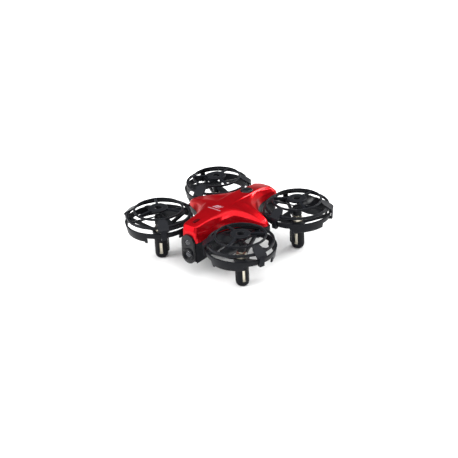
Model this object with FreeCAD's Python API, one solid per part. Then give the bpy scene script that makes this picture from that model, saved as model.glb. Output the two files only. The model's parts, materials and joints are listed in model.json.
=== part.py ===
import FreeCAD, Part
import math
import os

# A palm-sized quadcopter: a red two-shell body carries four black ducts, each with a motor pod that is
# also a foot, and a clip-on propeller guard.  Millimetres, +Z up, the nose looks along -Y, and "right"
# in a name means the +X side.  The origin is on the ground under the centre.

V = FreeCAD.Vector

# ---- driving dimensions -------------------------------------------------------------------------
MOTOR_X = 42.0            # half the spacing of the motors from side to side
MOTOR_Y = 37.5            # half the spacing of the motors from nose to tail
WALL = 1.2                # thickness of the body shells

MOTOR_R = 4.25            # coreless motor can, 8.5 mm across
MOTOR_BOTTOM = 5.0
MOTOR_TOP = 27.8
SHAFT_R = 0.5
RUNNING_GAP = 0.05        # radial play of the motor shaft in its bush
CAN_BORE = 3.85
BUSH_R = 1.6              # the shaft's bush stands out of the can
BUSH_TOP = 28.6
MAGNET_R = 2.6
MAGNET_BOTTOM = 9.6
COIL_R = (2.9, 3.55)      # inside and outside of the winding
COIL_Z = (7.6, 25.6)
SHAFT_BOTTOM = 6.2
POD_R = 5.4               # motor pod and foot
POD_TOP = 24.4
POD_FLOOR = 3.6
FOOT_R = 3.5              # flat end that touches the ground

RING_R = 28.0             # duct ring, outside, at its top edge
RING_WALL = 1.6
RING_TOP = 34.0
RING_THIN_BOTTOM = 29.6   # where the guard's clips reach under it
SKIRT_BOTTOM = 26.0
RING_TAPER = 0.19         # radius lost for each millimetre down
SKIRT_HALF_ANGLE = 30.0

PROP_R = 23.8
PROP_HUB_R = 3.9
PROP_HUB_BOTTOM = 29.9
PROP_HUB_TOP = 37.8
BLADE_Z = 36.5
BLADES = 4
# Radius, chord, pitch and thickness along one paddle-shaped blade.
BLADE_SECTIONS = [(2.6, 5.0, 34.0, 1.2), (7.0, 8.0, 26.0, 1.0), (13.0, 9.4, 19.0, 0.9),
                  (19.0, 9.2, 14.0, 0.8), (22.4, 7.2, 12.0, 0.7), (PROP_R, 3.4, 11.0, 0.6)]

GUARD_TOP = 44.6
GUARD_HUB_R = 7.9
GUARD_HOLE_R = 3.2
GUARD_INNER_R = 20.5
GUARD_BAND = 1.6
GUARD_RIM_R = 26.4
GUARD_RIM_BAND = 1.8
GUARD_RIM_TOP = 39.4
CLIP_WIDTH = 8.8          # the clip's sloping plate over the rim
CLIP_ROOT_WIDTH = 4.0     # the same plate where it leaves the guard's inner ring
LATCH_WIDTH = 4.2         # the springy leg that reaches down to the ring
CLIP_R = 29.6

SHELL_ARC_R = 32.0        # the body's hollow sides run round each ring at this radius
NOSE_Y = -50.2
NOSE_HALF = 7.4
TAIL_Y = 53.2
SPINE_HALF = 6.3
LOBE_X = 40.3
LOBE_CREST = 46.0
TUB_HALF = 9.2
TUB_BOTTOM = 13.0

BATTERY_HALF = 7.5
BATTERY_Z = (14.7, 24.0)
BATTERY_Y = (6.0, 52.0)
BUTTON_Y = 25.0
BUTTON_R = 5.2
BUTTON_TOP = 46.2
LED_Y = -39.5
CAMERA_Z = 19.9
PLATE_BOTTOM = 12.2       # lower end of the black plate on the nose
SENSOR_Z = 30.4
BEZEL_Y = -51.9

# Each corner: name, side (+1 right), end (+1 tail), guard spoke angle, pod window angles,
# propeller hand and resting angle.  Angles are for the right-hand corners; the left-hand ones are
# mirrored.
CORNERS = [
    ("front_left", -1, -1, 41.0, (-31.0, -128.0), 1, 26.0),
    ("front_right", 1, -1, 41.0, (-31.0, -128.0), -1, 2.0),
    ("rear_left", -1, 1, 85.0, (-72.0, 25.0), -1, 32.0),
    ("rear_right", 1, 1, 85.0, (-72.0, 25.0), 1, 4.0),
]

# The shell beside a ring, at angles round the ring's centre from the nose side to the lobe:
# angle, inset and height of the bevel's upper edge, inset and height of its lower edge,
# height of the shell's bottom edge.
FRONT_ARC = [
    (180.0, 2.5, 43.8, 0.8, 38.5, 31.2),
    (165.0, 2.6, 44.0, 0.7, 39.3, 31.9),
    (150.0, 3.0, 44.4, 1.2, 42.2, 32.7),
    (136.0, 7.2, 45.3, 2.8, 42.9, 33.4),
    (120.0, 5.7, 44.3, 2.0, 41.0, 34.0),
    (106.0, 2.8, 40.6, 1.3, 38.4, 34.4),
]
REAR_ARC = [
    (106.0, 2.8, 40.4, 1.3, 38.2, 34.4),
    (120.0, 5.4, 43.4, 2.0, 40.4, 34.4),
    (136.0, 6.2, 44.2, 2.4, 41.0, 34.4),
    (150.0, 4.6, 43.4, 1.8, 40.4, 34.4),
    (165.0, 3.6, 42.6, 1.4, 39.6, 34.4),
    (180.0, 3.4, 42.2, 1.2, 39.0, 34.4),
]
# Height of the deck's centre line from nose to tail.
SPINE = [(-50.0, 43.9), (-39.0, 44.7), (-12.0, 46.2), (8.0, 46.3), (25.0, 45.6), (40.0, 43.8), (54.0, 39.8)]


# ---- small helpers ------------------------------------------------------------------------------
def box(x0, y0, z0, x1, y1, z1):
    return Part.makeBox(x1 - x0, y1 - y0, z1 - z0, V(x0, y0, z0))


def cylinder(radius, z0, z1, x=0.0, y=0.0):
    return Part.makeCylinder(radius, z1 - z0, V(x, y, z0), V(0, 0, 1))


def revolve(profile):
    """A solid of revolution about Z from (radius, height) points."""
    points = [V(r, 0, z) for r, z in profile]
    face = Part.Face(Part.makePolygon(points + [points[0]]))
    return face.revolve(V(0, 0, 0), V(0, 0, 1), 360)


def prism(points, height):
    """Flat points on one plane, pushed along the vector height."""
    return Part.Face(Part.makePolygon(points + [points[0]])).extrude(height)


def turned(shape, angle):
    copy = shape.copy()
    copy.rotate(V(0, 0, 0), V(0, 0, 1), angle)
    return copy


def moved(shape, x, y, z=0.0):
    copy = shape.copy()
    copy.translate(V(x, y, z))
    return copy


def union(shapes):
    return shapes[0].multiFuse(shapes[1:]).removeSplitter()


def radial_bar(profile, width, angle):
    """A bar standing on a radius: (radius, height) outline, given width, turned to angle."""
    points = [V(r, -width / 2.0, z) for r, z in profile]
    return turned(prism(points, V(0, width, 0)), angle)


def interpolate(table, value):
    """Height from a table of (place, height) rows, straight between them."""
    for (a, ha), (b, hb) in zip(table, table[1:]):
        if value <= b:
            return ha + (hb - ha) * (max(value, a) - a) / (b - a)
    return table[-1][1]


def tube(points, radius, bend):
    """A round tube along straight runs joined by tangent arcs."""
    edges = []
    start = points[0]
    for before, corner, after in zip(points, points[1:], points[2:]):
        into = (corner - before).normalize()
        out = (after - corner).normalize()
        turn = into.getAngle(out)
        cut = bend * math.tan(turn / 2.0)
        first = corner - into * cut
        last = corner + out * cut
        inward = (out - into).normalize()
        middle = corner + inward * (bend / math.cos(turn / 2.0) - bend)
        edges.append(Part.makeLine(start, first))
        edges.append(Part.Arc(first, middle, last).toShape())
        start = last
    edges.append(Part.makeLine(start, points[-1]))
    wire = Part.Wire(edges)
    ring = Part.Wire([Part.makeCircle(radius, points[0], points[1] - points[0])])
    return wire.makePipeShell([ring], True, False)


def save(shape, name):
    solids = shape.Solids
    result = solids[0] if len(solids) == 1 else Part.makeCompound(solids)
    if not result.isValid():
        raise ValueError(name + " is not a valid solid")
    result.exportStep("parts/" + name + ".step")
    print("%-26s %2d solid(s) %10.1f mm3" % (name, len(solids), result.Volume))


# ---- the faceted body ---------------------------------------------------------------------------
def arc_station(row, end):
    """One station beside a ring: plan normal, then bottom, lower-edge and upper-edge points."""
    angle, upper_in, upper_z, lower_in, lower_z, base_z = row
    a = math.radians(angle)
    out = V(-math.cos(a), end * math.sin(a), 0)

    def at(inset, z):
        r = SHELL_ARC_R + inset
        return V(MOTOR_X + r * math.cos(a), end * (MOTOR_Y - r * math.sin(a)), z)
    return out, at(0.0, base_z), at(lower_in, lower_z), at(upper_in, upper_z)


def stations():
    """The right-hand half of the shell from the nose round the lobe to the tail."""
    s = 0.7071
    rows = [
        (V(0, -1, 0), V(5.6, NOSE_Y, 30.4), V(5.4, NOSE_Y + 0.3, 39.6), V(5.2, NOSE_Y + 1.9, 43.6)),
        (V(s, -s, 0), V(NOSE_HALF, NOSE_Y + 1.6, 30.4), V(7.2, NOSE_Y + 1.8, 38.6),
         V(6.7, NOSE_Y + 3.0, 43.6)),
    ]
    for row in FRONT_ARC:
        rows.append(arc_station(row, -1))
    for end, y_sign in ((-1, -1), (1, 1)):
        rows.append((V(1, 0, 0), V(LOBE_X, y_sign * 2.8, 34.2), V(LOBE_X - 0.6, y_sign * 2.4, 36.4),
                     V(LOBE_X - 1.8, y_sign * 1.7, 37.7)))
    for row in REAR_ARC:
        rows.append(arc_station(row, 1))
    rows.append((V(1, 0, 0), V(13.0, 47.8, 34.4), V(12.1, 47.6, 38.4), V(9.6, 46.8, 41.3)))
    rows.append((V(s, s, 0), V(11.6, TAIL_Y - 0.9, 34.4), V(10.7, TAIL_Y - 1.6, 37.5), V(8.3, 50.2, 40.1)))
    rows.append((V(0, 1, 0), V(7.6, TAIL_Y, 34.4), V(7.2, TAIL_Y - 0.6, 37.3), V(6.0, 51.4, 39.5)))
    return rows


def shell_loops(wall, base_drop):
    """Loops of right-hand points, bottom to top, for the shell made smaller by wall."""
    base, lower, upper, middle, spine = [], [], [], [], []
    for normal, b, l, u in stations():
        inward = normal * -wall
        b, l, u = b + inward, l + inward, u + inward
        b.z -= base_drop
        l.z -= wall * 0.5
        u.z -= wall
        half = min(SPINE_HALF, 0.75 * u.x)
        top = V(half, u.y, interpolate(SPINE, u.y) - wall - 0.15)
        mid = (u + top) * 0.5
        if u.x > 20.0:
            mid.z = LOBE_CREST - 0.0014 * (mid.x - SPINE_HALF) ** 2.5 - wall
        for loop, point in zip((base, lower, upper, middle, spine), (b, l, u, mid, top)):
            loop.append(point)
    return [base, lower, upper, middle, spine]


def mirror_x(point):
    return V(-point.x, point.y, point.z)


def triangle(a, b, c):
    return Part.Face(Part.makePolygon([a, b, c, a]))


def faceted(loops):
    """A closed solid through loops of right-hand points and their mirror images."""
    faces = []
    for low, high in zip(loops, loops[1:]):
        for i in range(len(low) - 1):
            for flip in (lambda p: p, mirror_x):
                a, b, c, d = flip(low[i]), flip(low[i + 1]), flip(high[i + 1]), flip(high[i])
                faces.append(triangle(a, b, c))
                faces.append(triangle(a, c, d))
        for i in (0, -1):
            a, b = low[i], high[i]
            faces.append(Part.Face(Part.makePolygon([a, b, mirror_x(b), mirror_x(a), a])))
    for loop in (loops[0], loops[-1]):
        for a, b in zip(loop, loop[1:]):
            faces.append(Part.Face(Part.makePolygon([a, b, mirror_x(b), mirror_x(a), a])))
    shell = Part.makeShell(faces)
    shell.sewShape()
    solid = Part.Solid(shell)
    if solid.Volume < 0:
        solid.reverse()
    return solid


def slot(length, width, z0, z1, x, y):
    """A round-ended slot, long from nose to tail."""
    r = width / 2.0
    h = length / 2.0 - r
    parts = [box(x - r, y - h, z0, x + r, y + h, z1), cylinder(r, z0, z1, x, y - h),
             cylinder(r, z0, z1, x, y + h)]
    return union(parts)


def pill(half_top, half_bottom, z_top, z_bottom, y0, y1):
    """A tall pill outline across the nose, its lower end wider than its upper one."""
    low, high = z_bottom + half_bottom, z_top - half_top
    a = V(-half_bottom, y0, low)
    b = V(half_bottom, y0, low)
    c = V(half_top, y0, high)
    d = V(-half_top, y0, high)
    edges = [Part.Arc(a, V(0, y0, z_bottom), b).toShape(), Part.makeLine(b, c),
             Part.Arc(c, V(0, y0, z_top), d).toShape(), Part.makeLine(d, a)]
    return Part.Face(Part.Wire(edges)).extrude(V(0, y1 - y0, 0))


def arm_direction(end):
    """Angle from a right-hand motor towards the middle of the aircraft."""
    return math.degrees(math.atan2(-end * MOTOR_Y, -MOTOR_X))


def at_corner(shape, side, end):
    """A right-hand piece moved to its corner, mirrored for the left-hand side."""
    placed = moved(shape, MOTOR_X, end * MOTOR_Y)
    return placed if side > 0 else placed.mirror(V(0, 0, 0), V(1, 0, 0))


def tongue(end, gap):
    """The flat end of the duct's arm, which the two shells clamp."""
    profile = [(RING_R - 1.0, 28.4 - gap), (38.6 + gap, 28.4 - gap), (38.6 + gap, 32.2 + gap),
               (RING_R - 1.0, 32.2 + gap)]
    return radial_bar(profile, 7.6 + 2 * gap, arm_direction(end))


def tongue_screw(end):
    """The screw's place in a right-hand tongue, beside the lead, from the motor's centre."""
    reach, aside = 35.8, 2.35
    a = math.radians(arm_direction(end))
    return reach * math.cos(a) + aside * math.sin(a), reach * math.sin(a) - aside * math.cos(a)


def duct_screw_places():
    """Where one screw goes up through the lower shell into each tongue."""
    return [(side * (MOTOR_X + x), end * MOTOR_Y + y)
            for _, side, end, *_ in CORNERS for x, y in [tongue_screw(end)]]


def body_screw_places():
    return [(-30.5, 0.0), (30.5, 0.0)]


def top_shell():
    skin = faceted(shell_loops(0.0, 0.0)).cut(faceted(shell_loops(WALL, 3.0)))
    for x, y in body_screw_places():
        boss = cylinder(2.4, 34.9, 45.0, x, y).common(faceted(shell_loops(0.6, 0.0)))
        skin = skin.fuse(boss).cut(cylinder(0.6, 33.0, 38.6, x, y))
    skin = skin.cut(cylinder(BUTTON_R + 0.2, 40.0, 50.0, 0, BUTTON_Y))
    skin = skin.cut(slot(7.0, 2.5, 40.0, 50.0, 0, LED_Y))
    skin = skin.cut(pill(6.4, 6.8, 37.3, 8.0, NOSE_Y - 3.0, NOSE_Y + 4.0))
    return skin


def chamfered_bar(half, z0, z1, chamfer_x, chamfer_z, y0, y1):
    """A bar from nose to tail with its two bottom edges cut off."""
    section = [V(-half, y0, z1), V(-half, y0, z0 + chamfer_z), V(-half + chamfer_x, y0, z0),
               V(half - chamfer_x, y0, z0), V(half, y0, z0 + chamfer_z), V(half, y0, z1)]
    return prism(section, V(0, y1 - y0, 0))


def lower_body(wall):
    """The outside of the lower shell, or its hollow when wall is its thickness."""
    base = shell_loops(wall, 0.1)[0]
    top = [V(p.x, p.y, p.z + (3.0 if wall else 0.0)) for p in base]
    floor = [V(p.x * 0.985, p.y * 0.995, 28.0 + wall) for p in base]
    tray = faceted([floor, top])
    h = TUB_HALF - wall
    low = TUB_BOTTOM + wall
    y0, y1 = NOSE_Y + 0.3 + wall, TAIL_Y - 1.2 - wall
    tub = chamfered_bar(h, low, 30.2, 2.4, 3.0, y0, y1)
    inset = 0.3 + wall
    nose = [V(-NOSE_HALF + inset, y0, 5.0), V(NOSE_HALF - inset, y0, 5.0), V(h + 0.01, y0 + 13.0, 5.0),
            V(h + 0.01, y1, 5.0), V(-h - 0.01, y1, 5.0), V(-h - 0.01, y0 + 13.0, 5.0)]
    tub = tub.common(prism(nose, V(0, 0, 40.0)))
    return tray.fuse(tub)


def lower_shell():
    shell = lower_body(0.0).cut(lower_body(WALL))
    shell = shell.cut(chamfered_bar(BATTERY_HALF + 0.2, BATTERY_Z[0] - 0.2, BATTERY_Z[1] + 0.2,
                                    2.4, 2.4, 40.0, 60.0))
    shelf = box(-TUB_HALF + 0.6, BATTERY_Y[0] - 2.0, 24.5, TUB_HALF - 0.6, TAIL_Y - 2.0, 25.5)
    stop = box(-TUB_HALF + 0.6, BATTERY_Y[0] - 2.0, TUB_BOTTOM + 0.5, TUB_HALF - 0.6,
               BATTERY_Y[0] - 1.0, 25.5)
    shell = shell.fuse(shelf).fuse(stop.cut(box(-3.0, -5.0, 17.0, 3.0, 10.0, 22.0)))
    for x, y in body_screw_places():
        shell = shell.fuse(cylinder(2.4, 28.6, 34.6, x, y)).cut(cylinder(1.0, 27.0, 36.0, x, y))
        shell = shell.cut(cylinder(1.7, 27.0, 29.4, x, y))
    for _, side, end, *_ in CORNERS:
        shell = shell.cut(at_corner(tongue(end, 0.15), side, end))
    for x, y in duct_screw_places():
        shell = shell.fuse(cylinder(2.6, 26.9, 28.2, x, y)).cut(cylinder(0.7, 26.0, 30.0, x, y))
        shell = shell.cut(cylinder(1.65, 26.0, 27.95, x, y))
    shell = shell.cut(pill(6.4, 6.8, 37.3, 8.0, NOSE_Y - 3.0, NOSE_Y + 1.7))
    return shell.removeSplitter()


# ---- one corner ---------------------------------------------------------------------------------
def ring_profile(z, inset=0.0):
    return RING_R - RING_TAPER * (RING_TOP - z) - inset


def wedge(angle, half_angle, radius, z0, z1):
    a, b = math.radians(angle - half_angle), math.radians(angle + half_angle)
    points = [V(0, 0, z0), V(radius * math.cos(a), radius * math.sin(a), z0),
              V(radius * math.cos(b), radius * math.sin(b), z0)]
    return prism(points, V(0, 0, z1 - z0))


def duct_ring(spoke_angle):
    low, high = SKIRT_BOTTOM, RING_TOP
    ring = revolve([(ring_profile(high), high), (ring_profile(low), low),
                    (ring_profile(low, RING_WALL), low), (ring_profile(high, RING_WALL), high)])
    for k in range(3):
        clip = spoke_angle + 60.0 + 120.0 * k
        ring = ring.cut(wedge(clip, 30.0, 45.0, low - 1.0, RING_THIN_BOTTOM))
        tooth_angle = spoke_angle + 120.0 * k - SKIRT_HALF_ANGLE + 2.2
        r = ring_profile(low)
        tooth = [(r - RING_WALL, low + 1.0), (r - RING_WALL, low - 1.3), (r, low - 1.3), (r, low + 1.0)]
        ring = ring.fuse(radial_bar(tooth, 2.0, tooth_angle))
    return ring


def pod(arm_angle, windows):
    profile = [(0, 0), (FOOT_R, 0), (4.6, 0.9), (5.2, 2.2), (POD_R, 3.8), (POD_R, 20.6), (6.4, 21.8),
               (6.4, POD_TOP), (0, POD_TOP)]
    body = revolve(profile)
    rib = radial_bar([(4.0, 2.6), (6.6, 2.6), (7.5, 4.2), (7.5, POD_TOP), (4.0, POD_TOP)], 3.4, arm_angle)
    body = body.fuse(rib).cut(cylinder(MOTOR_R + 0.04, POD_FLOOR, 40.0))
    for angle in windows:
        window = [(3.0, 3.7), (9.0, 3.7), (9.0, 14.4), (3.0, 14.4)]
        body = body.cut(radial_bar(window, 3.0, angle))
    return body


def lead_route(end):
    """The motor lead's path from the motor's end cap up the rib and along the arm."""
    points = [(3.4, 4.4), (6.0, 4.4), (6.0, 26.6), (36.0, 30.4), (41.5, 30.4)]
    a = math.radians(arm_direction(end))
    return [V(r * math.cos(a), r * math.sin(a), z) for r, z in points]


def duct(end, spoke_angle, windows):
    arm_angle = arm_direction(end)
    parts = [duct_ring(spoke_angle), pod(arm_angle, windows), tongue(end, 0.0)]
    arm = [(4.8, 23.0), (7.5, 23.0), (RING_R - 1.0, 28.4), (RING_R, 28.4), (RING_R, 32.2),
           (26.0, 32.2), (9.5, 28.2), (4.8, 28.2)]
    parts.append(radial_bar(arm, 4.4, arm_angle))
    for k in range(3):
        strut = [(4.8, 22.0), (RING_R - 1.2, 29.9), (RING_R - 1.2, 32.6), (7.5, 25.4), (4.8, 24.4)]
        parts.append(radial_bar(strut, 2.2, spoke_angle + 60.0 + 120.0 * k))
    body = parts[0].multiFuse(parts[1:])
    body = body.cut(cylinder(MOTOR_R + 0.04, POD_FLOOR, 40.0))
    body = body.cut(tube(lead_route(end), 0.75, 1.6))
    return body.cut(cylinder(0.6, 27.0, 31.6, *tongue_screw(end)))


def guard(spoke_angle):
    low = GUARD_TOP - 1.6
    hub = cylinder(GUARD_HUB_R, low, GUARD_TOP).cut(cylinder(GUARD_HOLE_R, low - 1, GUARD_TOP + 1))
    inner_top = GUARD_TOP - 0.8
    inner_low = inner_top - 1.8
    inner = cylinder(GUARD_INNER_R, inner_low, inner_top).cut(
        cylinder(GUARD_INNER_R - GUARD_BAND, inner_low - 1, inner_top + 1))
    rim_low = GUARD_RIM_TOP - 2.3
    rim = cylinder(GUARD_RIM_R, rim_low, GUARD_RIM_TOP).cut(
        cylinder(GUARD_RIM_R - GUARD_RIM_BAND, rim_low - 1, GUARD_RIM_TOP + 1))
    parts = [hub, inner, rim]
    mid = GUARD_INNER_R - GUARD_BAND / 2.0
    for k in range(3):
        angle = spoke_angle + 120.0 * k
        bar = [(GUARD_HUB_R - 0.6, low), (mid, inner_low), (mid, inner_top), (GUARD_HUB_R - 0.6, GUARD_TOP)]
        parts.append(radial_bar(bar, 1.9, angle))
        parts.append(guard_clip(angle + 60.0, mid, inner_low, inner_top))
    return parts[0].multiFuse(parts[1:])


def guard_clip(angle, root_r, root_low, root_top):
    """A plate that widens as it slopes over the rim, with a latch that hooks under the duct's ring."""
    half, root_half = CLIP_WIDTH / 2.0, CLIP_ROOT_WIDTH / 2.0
    knee, edge = 23.0, CLIP_R - 0.3
    plan = [V(root_r, -root_half, 30), V(knee, -half, 30), V(edge, -half, 30), V(edge, half, 30),
            V(knee, half, 30), V(root_r, root_half, 30)]
    slope = [(root_r - 1.0, root_low), (knee, 39.8), (26.6, 38.2), (27.4, 36.4), (edge + 1.0, 35.6),
             (edge + 1.0, 37.0), (28.6, 38.2), (knee, 41.5), (root_r - 1.0, root_top)]
    plate = turned(prism(plan, V(0, 0, 20)), angle).common(radial_bar(slope, 2 * CLIP_WIDTH, angle))
    hook_top = RING_THIN_BOTTOM - 0.3
    inside = RING_R + 0.2
    leg = [(27.6, 36.6), (CLIP_R - 0.6, 37.6), (CLIP_R, 36.4), (CLIP_R - 0.5, 28.3), (26.2, 28.3),
           (26.2, hook_top), (27.5, hook_top), (inside, 33.0), (inside, 35.4)]
    return plate.fuse(radial_bar(leg, LATCH_WIDTH, angle))


def blade(hand):
    """A twisted blade lying along +X, from thin four-sided sections."""
    sections = []
    for r, chord, pitch, thick in BLADE_SECTIONS:
        p = math.radians(pitch) * hand
        along = V(0, math.cos(p), math.sin(p))
        up = V(0, -math.sin(p), math.cos(p))
        centre = V(r, 0, BLADE_Z)
        corners = [centre - along * (chord / 2), centre + up * (thick / 2),
                   centre + along * (chord / 2), centre - up * (thick / 2)]
        sections.append(Part.makePolygon(corners + [corners[0]]))
    return Part.makeLoft(sections, True, True)


def propeller(hand, rest_angle):
    hub = revolve([(0, PROP_HUB_BOTTOM), (PROP_HUB_R, PROP_HUB_BOTTOM), (PROP_HUB_R, PROP_HUB_TOP - 1.4),
                   (3.3, PROP_HUB_TOP - 0.5), (2.0, PROP_HUB_TOP), (0, PROP_HUB_TOP)])
    parts = [hub]
    for k in range(BLADES):
        parts.append(turned(blade(hand), rest_angle + 360.0 / BLADES * k))
    body = parts[0].multiFuse(parts[1:])
    relief = revolve([(1.4, PROP_HUB_BOTTOM - 1), (3.1, PROP_HUB_BOTTOM - 1), (3.1, PROP_HUB_BOTTOM + 3.5),
                      (1.4, PROP_HUB_BOTTOM + 3.5)])
    return body.cut(relief).cut(cylinder(SHAFT_R, PROP_HUB_BOTTOM - 1, PROP_HUB_TOP - 0.9))


def motor():
    """The motor's can with its fixed magnet; the winding turns in the gap between the two."""
    gap_low, gap_high = COIL_Z[0] - 0.6, COIL_Z[1] + 0.5
    can = revolve([(0, MOTOR_BOTTOM), (MOTOR_R, MOTOR_BOTTOM), (MOTOR_R, MOTOR_TOP - 0.4),
                   (MOTOR_R - 0.4, MOTOR_TOP), (BUSH_R, MOTOR_TOP), (BUSH_R, BUSH_TOP), (0, BUSH_TOP)])
    gap = revolve([(SHAFT_R, gap_low), (CAN_BORE, gap_low), (CAN_BORE, gap_high), (MAGNET_R, gap_high),
                   (MAGNET_R, MAGNET_BOTTOM), (SHAFT_R, MAGNET_BOTTOM)])
    return can.cut(gap).cut(cylinder(SHAFT_R + RUNNING_GAP, SHAFT_BOTTOM - 0.2, 40.0))


def coil():
    """The rotor's winding, a thin cup that is closed by a disc on the shaft below the magnet."""
    low, high = COIL_Z
    inner, outer = COIL_R
    return revolve([(SHAFT_R, low), (outer, low), (outer, high), (inner, high), (inner, low + 1.0),
                    (SHAFT_R, low + 1.0)])


def end_cap(end):
    cap = cylinder(MOTOR_R - 0.05, POD_FLOOR + 0.1, MOTOR_BOTTOM)
    return cap.cut(tube(lead_route(end), 0.6, 1.6))


# ---- nose, deck and inside ----------------------------------------------------------------------
def nose_disc(radius, y0, y1, z, hole=0.0):
    disc = Part.makeCylinder(radius, y1 - y0, V(0, y0, z), V(0, 1, 0))
    if hole:
        disc = disc.cut(Part.makeCylinder(hole, y1 - y0 + 2, V(0, y0 - 1, z), V(0, 1, 0)))
    return disc


def camera_bezel():
    plate = pill(6.2, 6.6, 37.1, PLATE_BOTTOM, BEZEL_Y, NOSE_Y + 1.2)
    plate = plate.cut(nose_disc(5.4, BEZEL_Y - 1, NOSE_Y + 3, CAMERA_Z))
    return plate.cut(nose_disc(2.5, BEZEL_Y - 1, NOSE_Y + 3, SENSOR_Z))


def lens_ring():
    ring = nose_disc(5.3, BEZEL_Y - 1.2, NOSE_Y + 1.0, CAMERA_Z, 2.9)
    cone = Part.makeCone(4.3, 2.9, 1.6, V(0, BEZEL_Y - 1.2, CAMERA_Z), V(0, 1, 0))
    return ring.cut(cone)


def domed_lens(radius, front_y, back_y, z, rise):
    """A disc across the nose with a domed front."""
    ball_r = (radius ** 2 + rise ** 2) / (2 * rise)
    rod = Part.makeCylinder(radius, back_y - front_y, V(0, front_y, z), V(0, 1, 0))
    return rod.common(Part.makeSphere(ball_r, V(0, front_y + ball_r, z)).fuse(
        Part.makeCylinder(radius, back_y - front_y - rise, V(0, front_y + rise, z), V(0, 1, 0))))


def camera_module():
    block = box(-4.2, NOSE_Y + 1.3, CAMERA_Z - 4.2, 4.2, NOSE_Y + 6.3, CAMERA_Z + 4.2)
    return block.fuse(nose_disc(2.7, NOSE_Y - 0.2, NOSE_Y + 2.0, CAMERA_Z))


def camera_flex():
    """A flat ribbon that climbs from the camera to the circuit board."""
    x, y, t = 2.5, NOSE_Y + 6.4, 0.25
    profile = [(y, 21.0), (y + 3.0, 21.0), (y + 3.0 + t, 21.0 + t), (y + 3.0 + t, 29.5), (-31.0, 29.5),
               (-31.0, 29.5 + t), (y + 3.0, 29.5 + t), (y + 3.0, 21.0 + t), (y, 21.0 + t)]
    return prism([V(-x, a, z) for a, z in profile], V(2 * x, 0, 0))


def main_pcb():
    board = box(-6.6, -36.0, 30.0, 6.6, 40.0, 31.0)
    board = board.fuse(box(-15.0, -5.5, 30.0, 15.0, 5.5, 31.0))
    return board.removeSplitter()


def pcb_chips():
    chips = [box(-3.5, -16.0, 31.0, 3.5, -9.0, 32.0), box(-2.5, -2.5, 31.0, 2.5, 2.5, 31.9),
             box(-5.5, 7.0, 31.0, -1.5, 12.0, 31.8), box(1.5, 7.0, 31.0, 5.5, 11.0, 31.8)]
    for x in (-11.5, 11.5):
        chips.append(box(x - 1.2, -3.6, 31.0, x + 1.2, -1.2, 31.9))
        chips.append(box(x - 1.2, 1.2, 31.0, x + 1.2, 3.6, 31.9))
    return Part.makeCompound(chips)


def power_button():
    cap = revolve([(0, 42.7), (BUTTON_R, 42.7), (BUTTON_R, BUTTON_TOP - 0.5), (BUTTON_R - 0.6, BUTTON_TOP),
                   (3.6, BUTTON_TOP), (2.6, BUTTON_TOP - 0.35), (0, BUTTON_TOP - 0.35)])
    flange = cylinder(BUTTON_R + 0.6, 41.8, 42.7)
    stem = cylinder(1.4, 34.4, 42.0)
    return moved(union([cap, flange, stem]), 0, BUTTON_Y)


def tact_switch():
    base = box(-3.0, BUTTON_Y - 3.0, 31.0, 3.0, BUTTON_Y + 3.0, 33.0)
    return base.fuse(cylinder(1.6, 32.9, 33.7, 0, BUTTON_Y))


def battery_case():
    h, (z0, z1), (y0, y1) = BATTERY_HALF, BATTERY_Z, BATTERY_Y
    case = chamfered_bar(h, z0, z1, 2.4, 2.4, y0, y1)
    case = case.cut(chamfered_bar(h - 0.8, z0 + 0.8, z1 - 0.8, 2.1, 2.1, y0 + 1.0, y1 - 4.0))
    case = case.cut(box(-4.0, y1 - 2.4, z0 + 3.0, 4.0, y1 + 1.0, z0 + 6.0))
    grip = [box(-5.0 + 1.6 * k, y1 - 0.5, z1 - 1.9, -4.2 + 1.6 * k, y1 + 0.4, z1 - 0.5) for k in range(7)]
    return union([case] + grip)


def charge_port():
    y1, z0 = BATTERY_Y[1], BATTERY_Z[0]
    outer = box(-3.9, y1 - 2.35, z0 + 3.1, 3.9, y1 - 0.1, z0 + 5.9)
    inner = box(-3.5, y1 - 1.9, z0 + 3.5, 3.5, y1 + 1.0, z0 + 5.5)
    return outer.cut(inner).fuse(box(-2.4, y1 - 2.0, z0 + 4.3, 2.4, y1 - 0.5, z0 + 4.7))


def battery_cell():
    h, (z0, z1), (y0, y1) = BATTERY_HALF, BATTERY_Z, BATTERY_Y
    cell = chamfered_bar(h - 1.1, z0 + 1.1, z1 - 1.1, 2.0, 2.0, y0 + 2.0, y1 - 5.0)
    return cell.makeFillet(0.8, [e for e in cell.Edges if abs(e.Length - (y1 - y0 - 7.0)) < 0.1])


def battery_socket():
    """Spring contacts on a block at the front end of the battery bay."""
    y = BATTERY_Y[0]
    block = box(-2.8, y - 4.5, 17.2, 2.8, y - 1.2, 21.8)
    for x in (-1.5, 0.0, 1.5):
        block = block.fuse(box(x - 0.35, y - 1.3, 18.4, x + 0.35, y - 0.1, 20.6))
    return block


def screws(places, head_z, tip_z, head_r, shank_r):
    bodies = []
    for x, y in places:
        head = cylinder(head_r, head_z, head_z + 0.9, x, y)
        screw = head.fuse(cylinder(shank_r, head_z + 0.5, tip_z, x, y))
        for angle in (0.0, 90.0):
            cross = box(-0.9, -0.2, head_z - 1.0, 0.9, 0.2, head_z + 0.45)
            screw = screw.cut(moved(turned(cross, angle), x, y))
        bodies.append(screw)
    return Part.makeCompound(bodies)


def antenna():
    """A short whip aerial lying along the right-hand edge inside the top shell."""
    return tube([V(5.2, -20.0, 31.6), V(5.2, -26.0, 37.5), V(3.6, -41.0, 38.5)], 0.45, 2.5)


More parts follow.
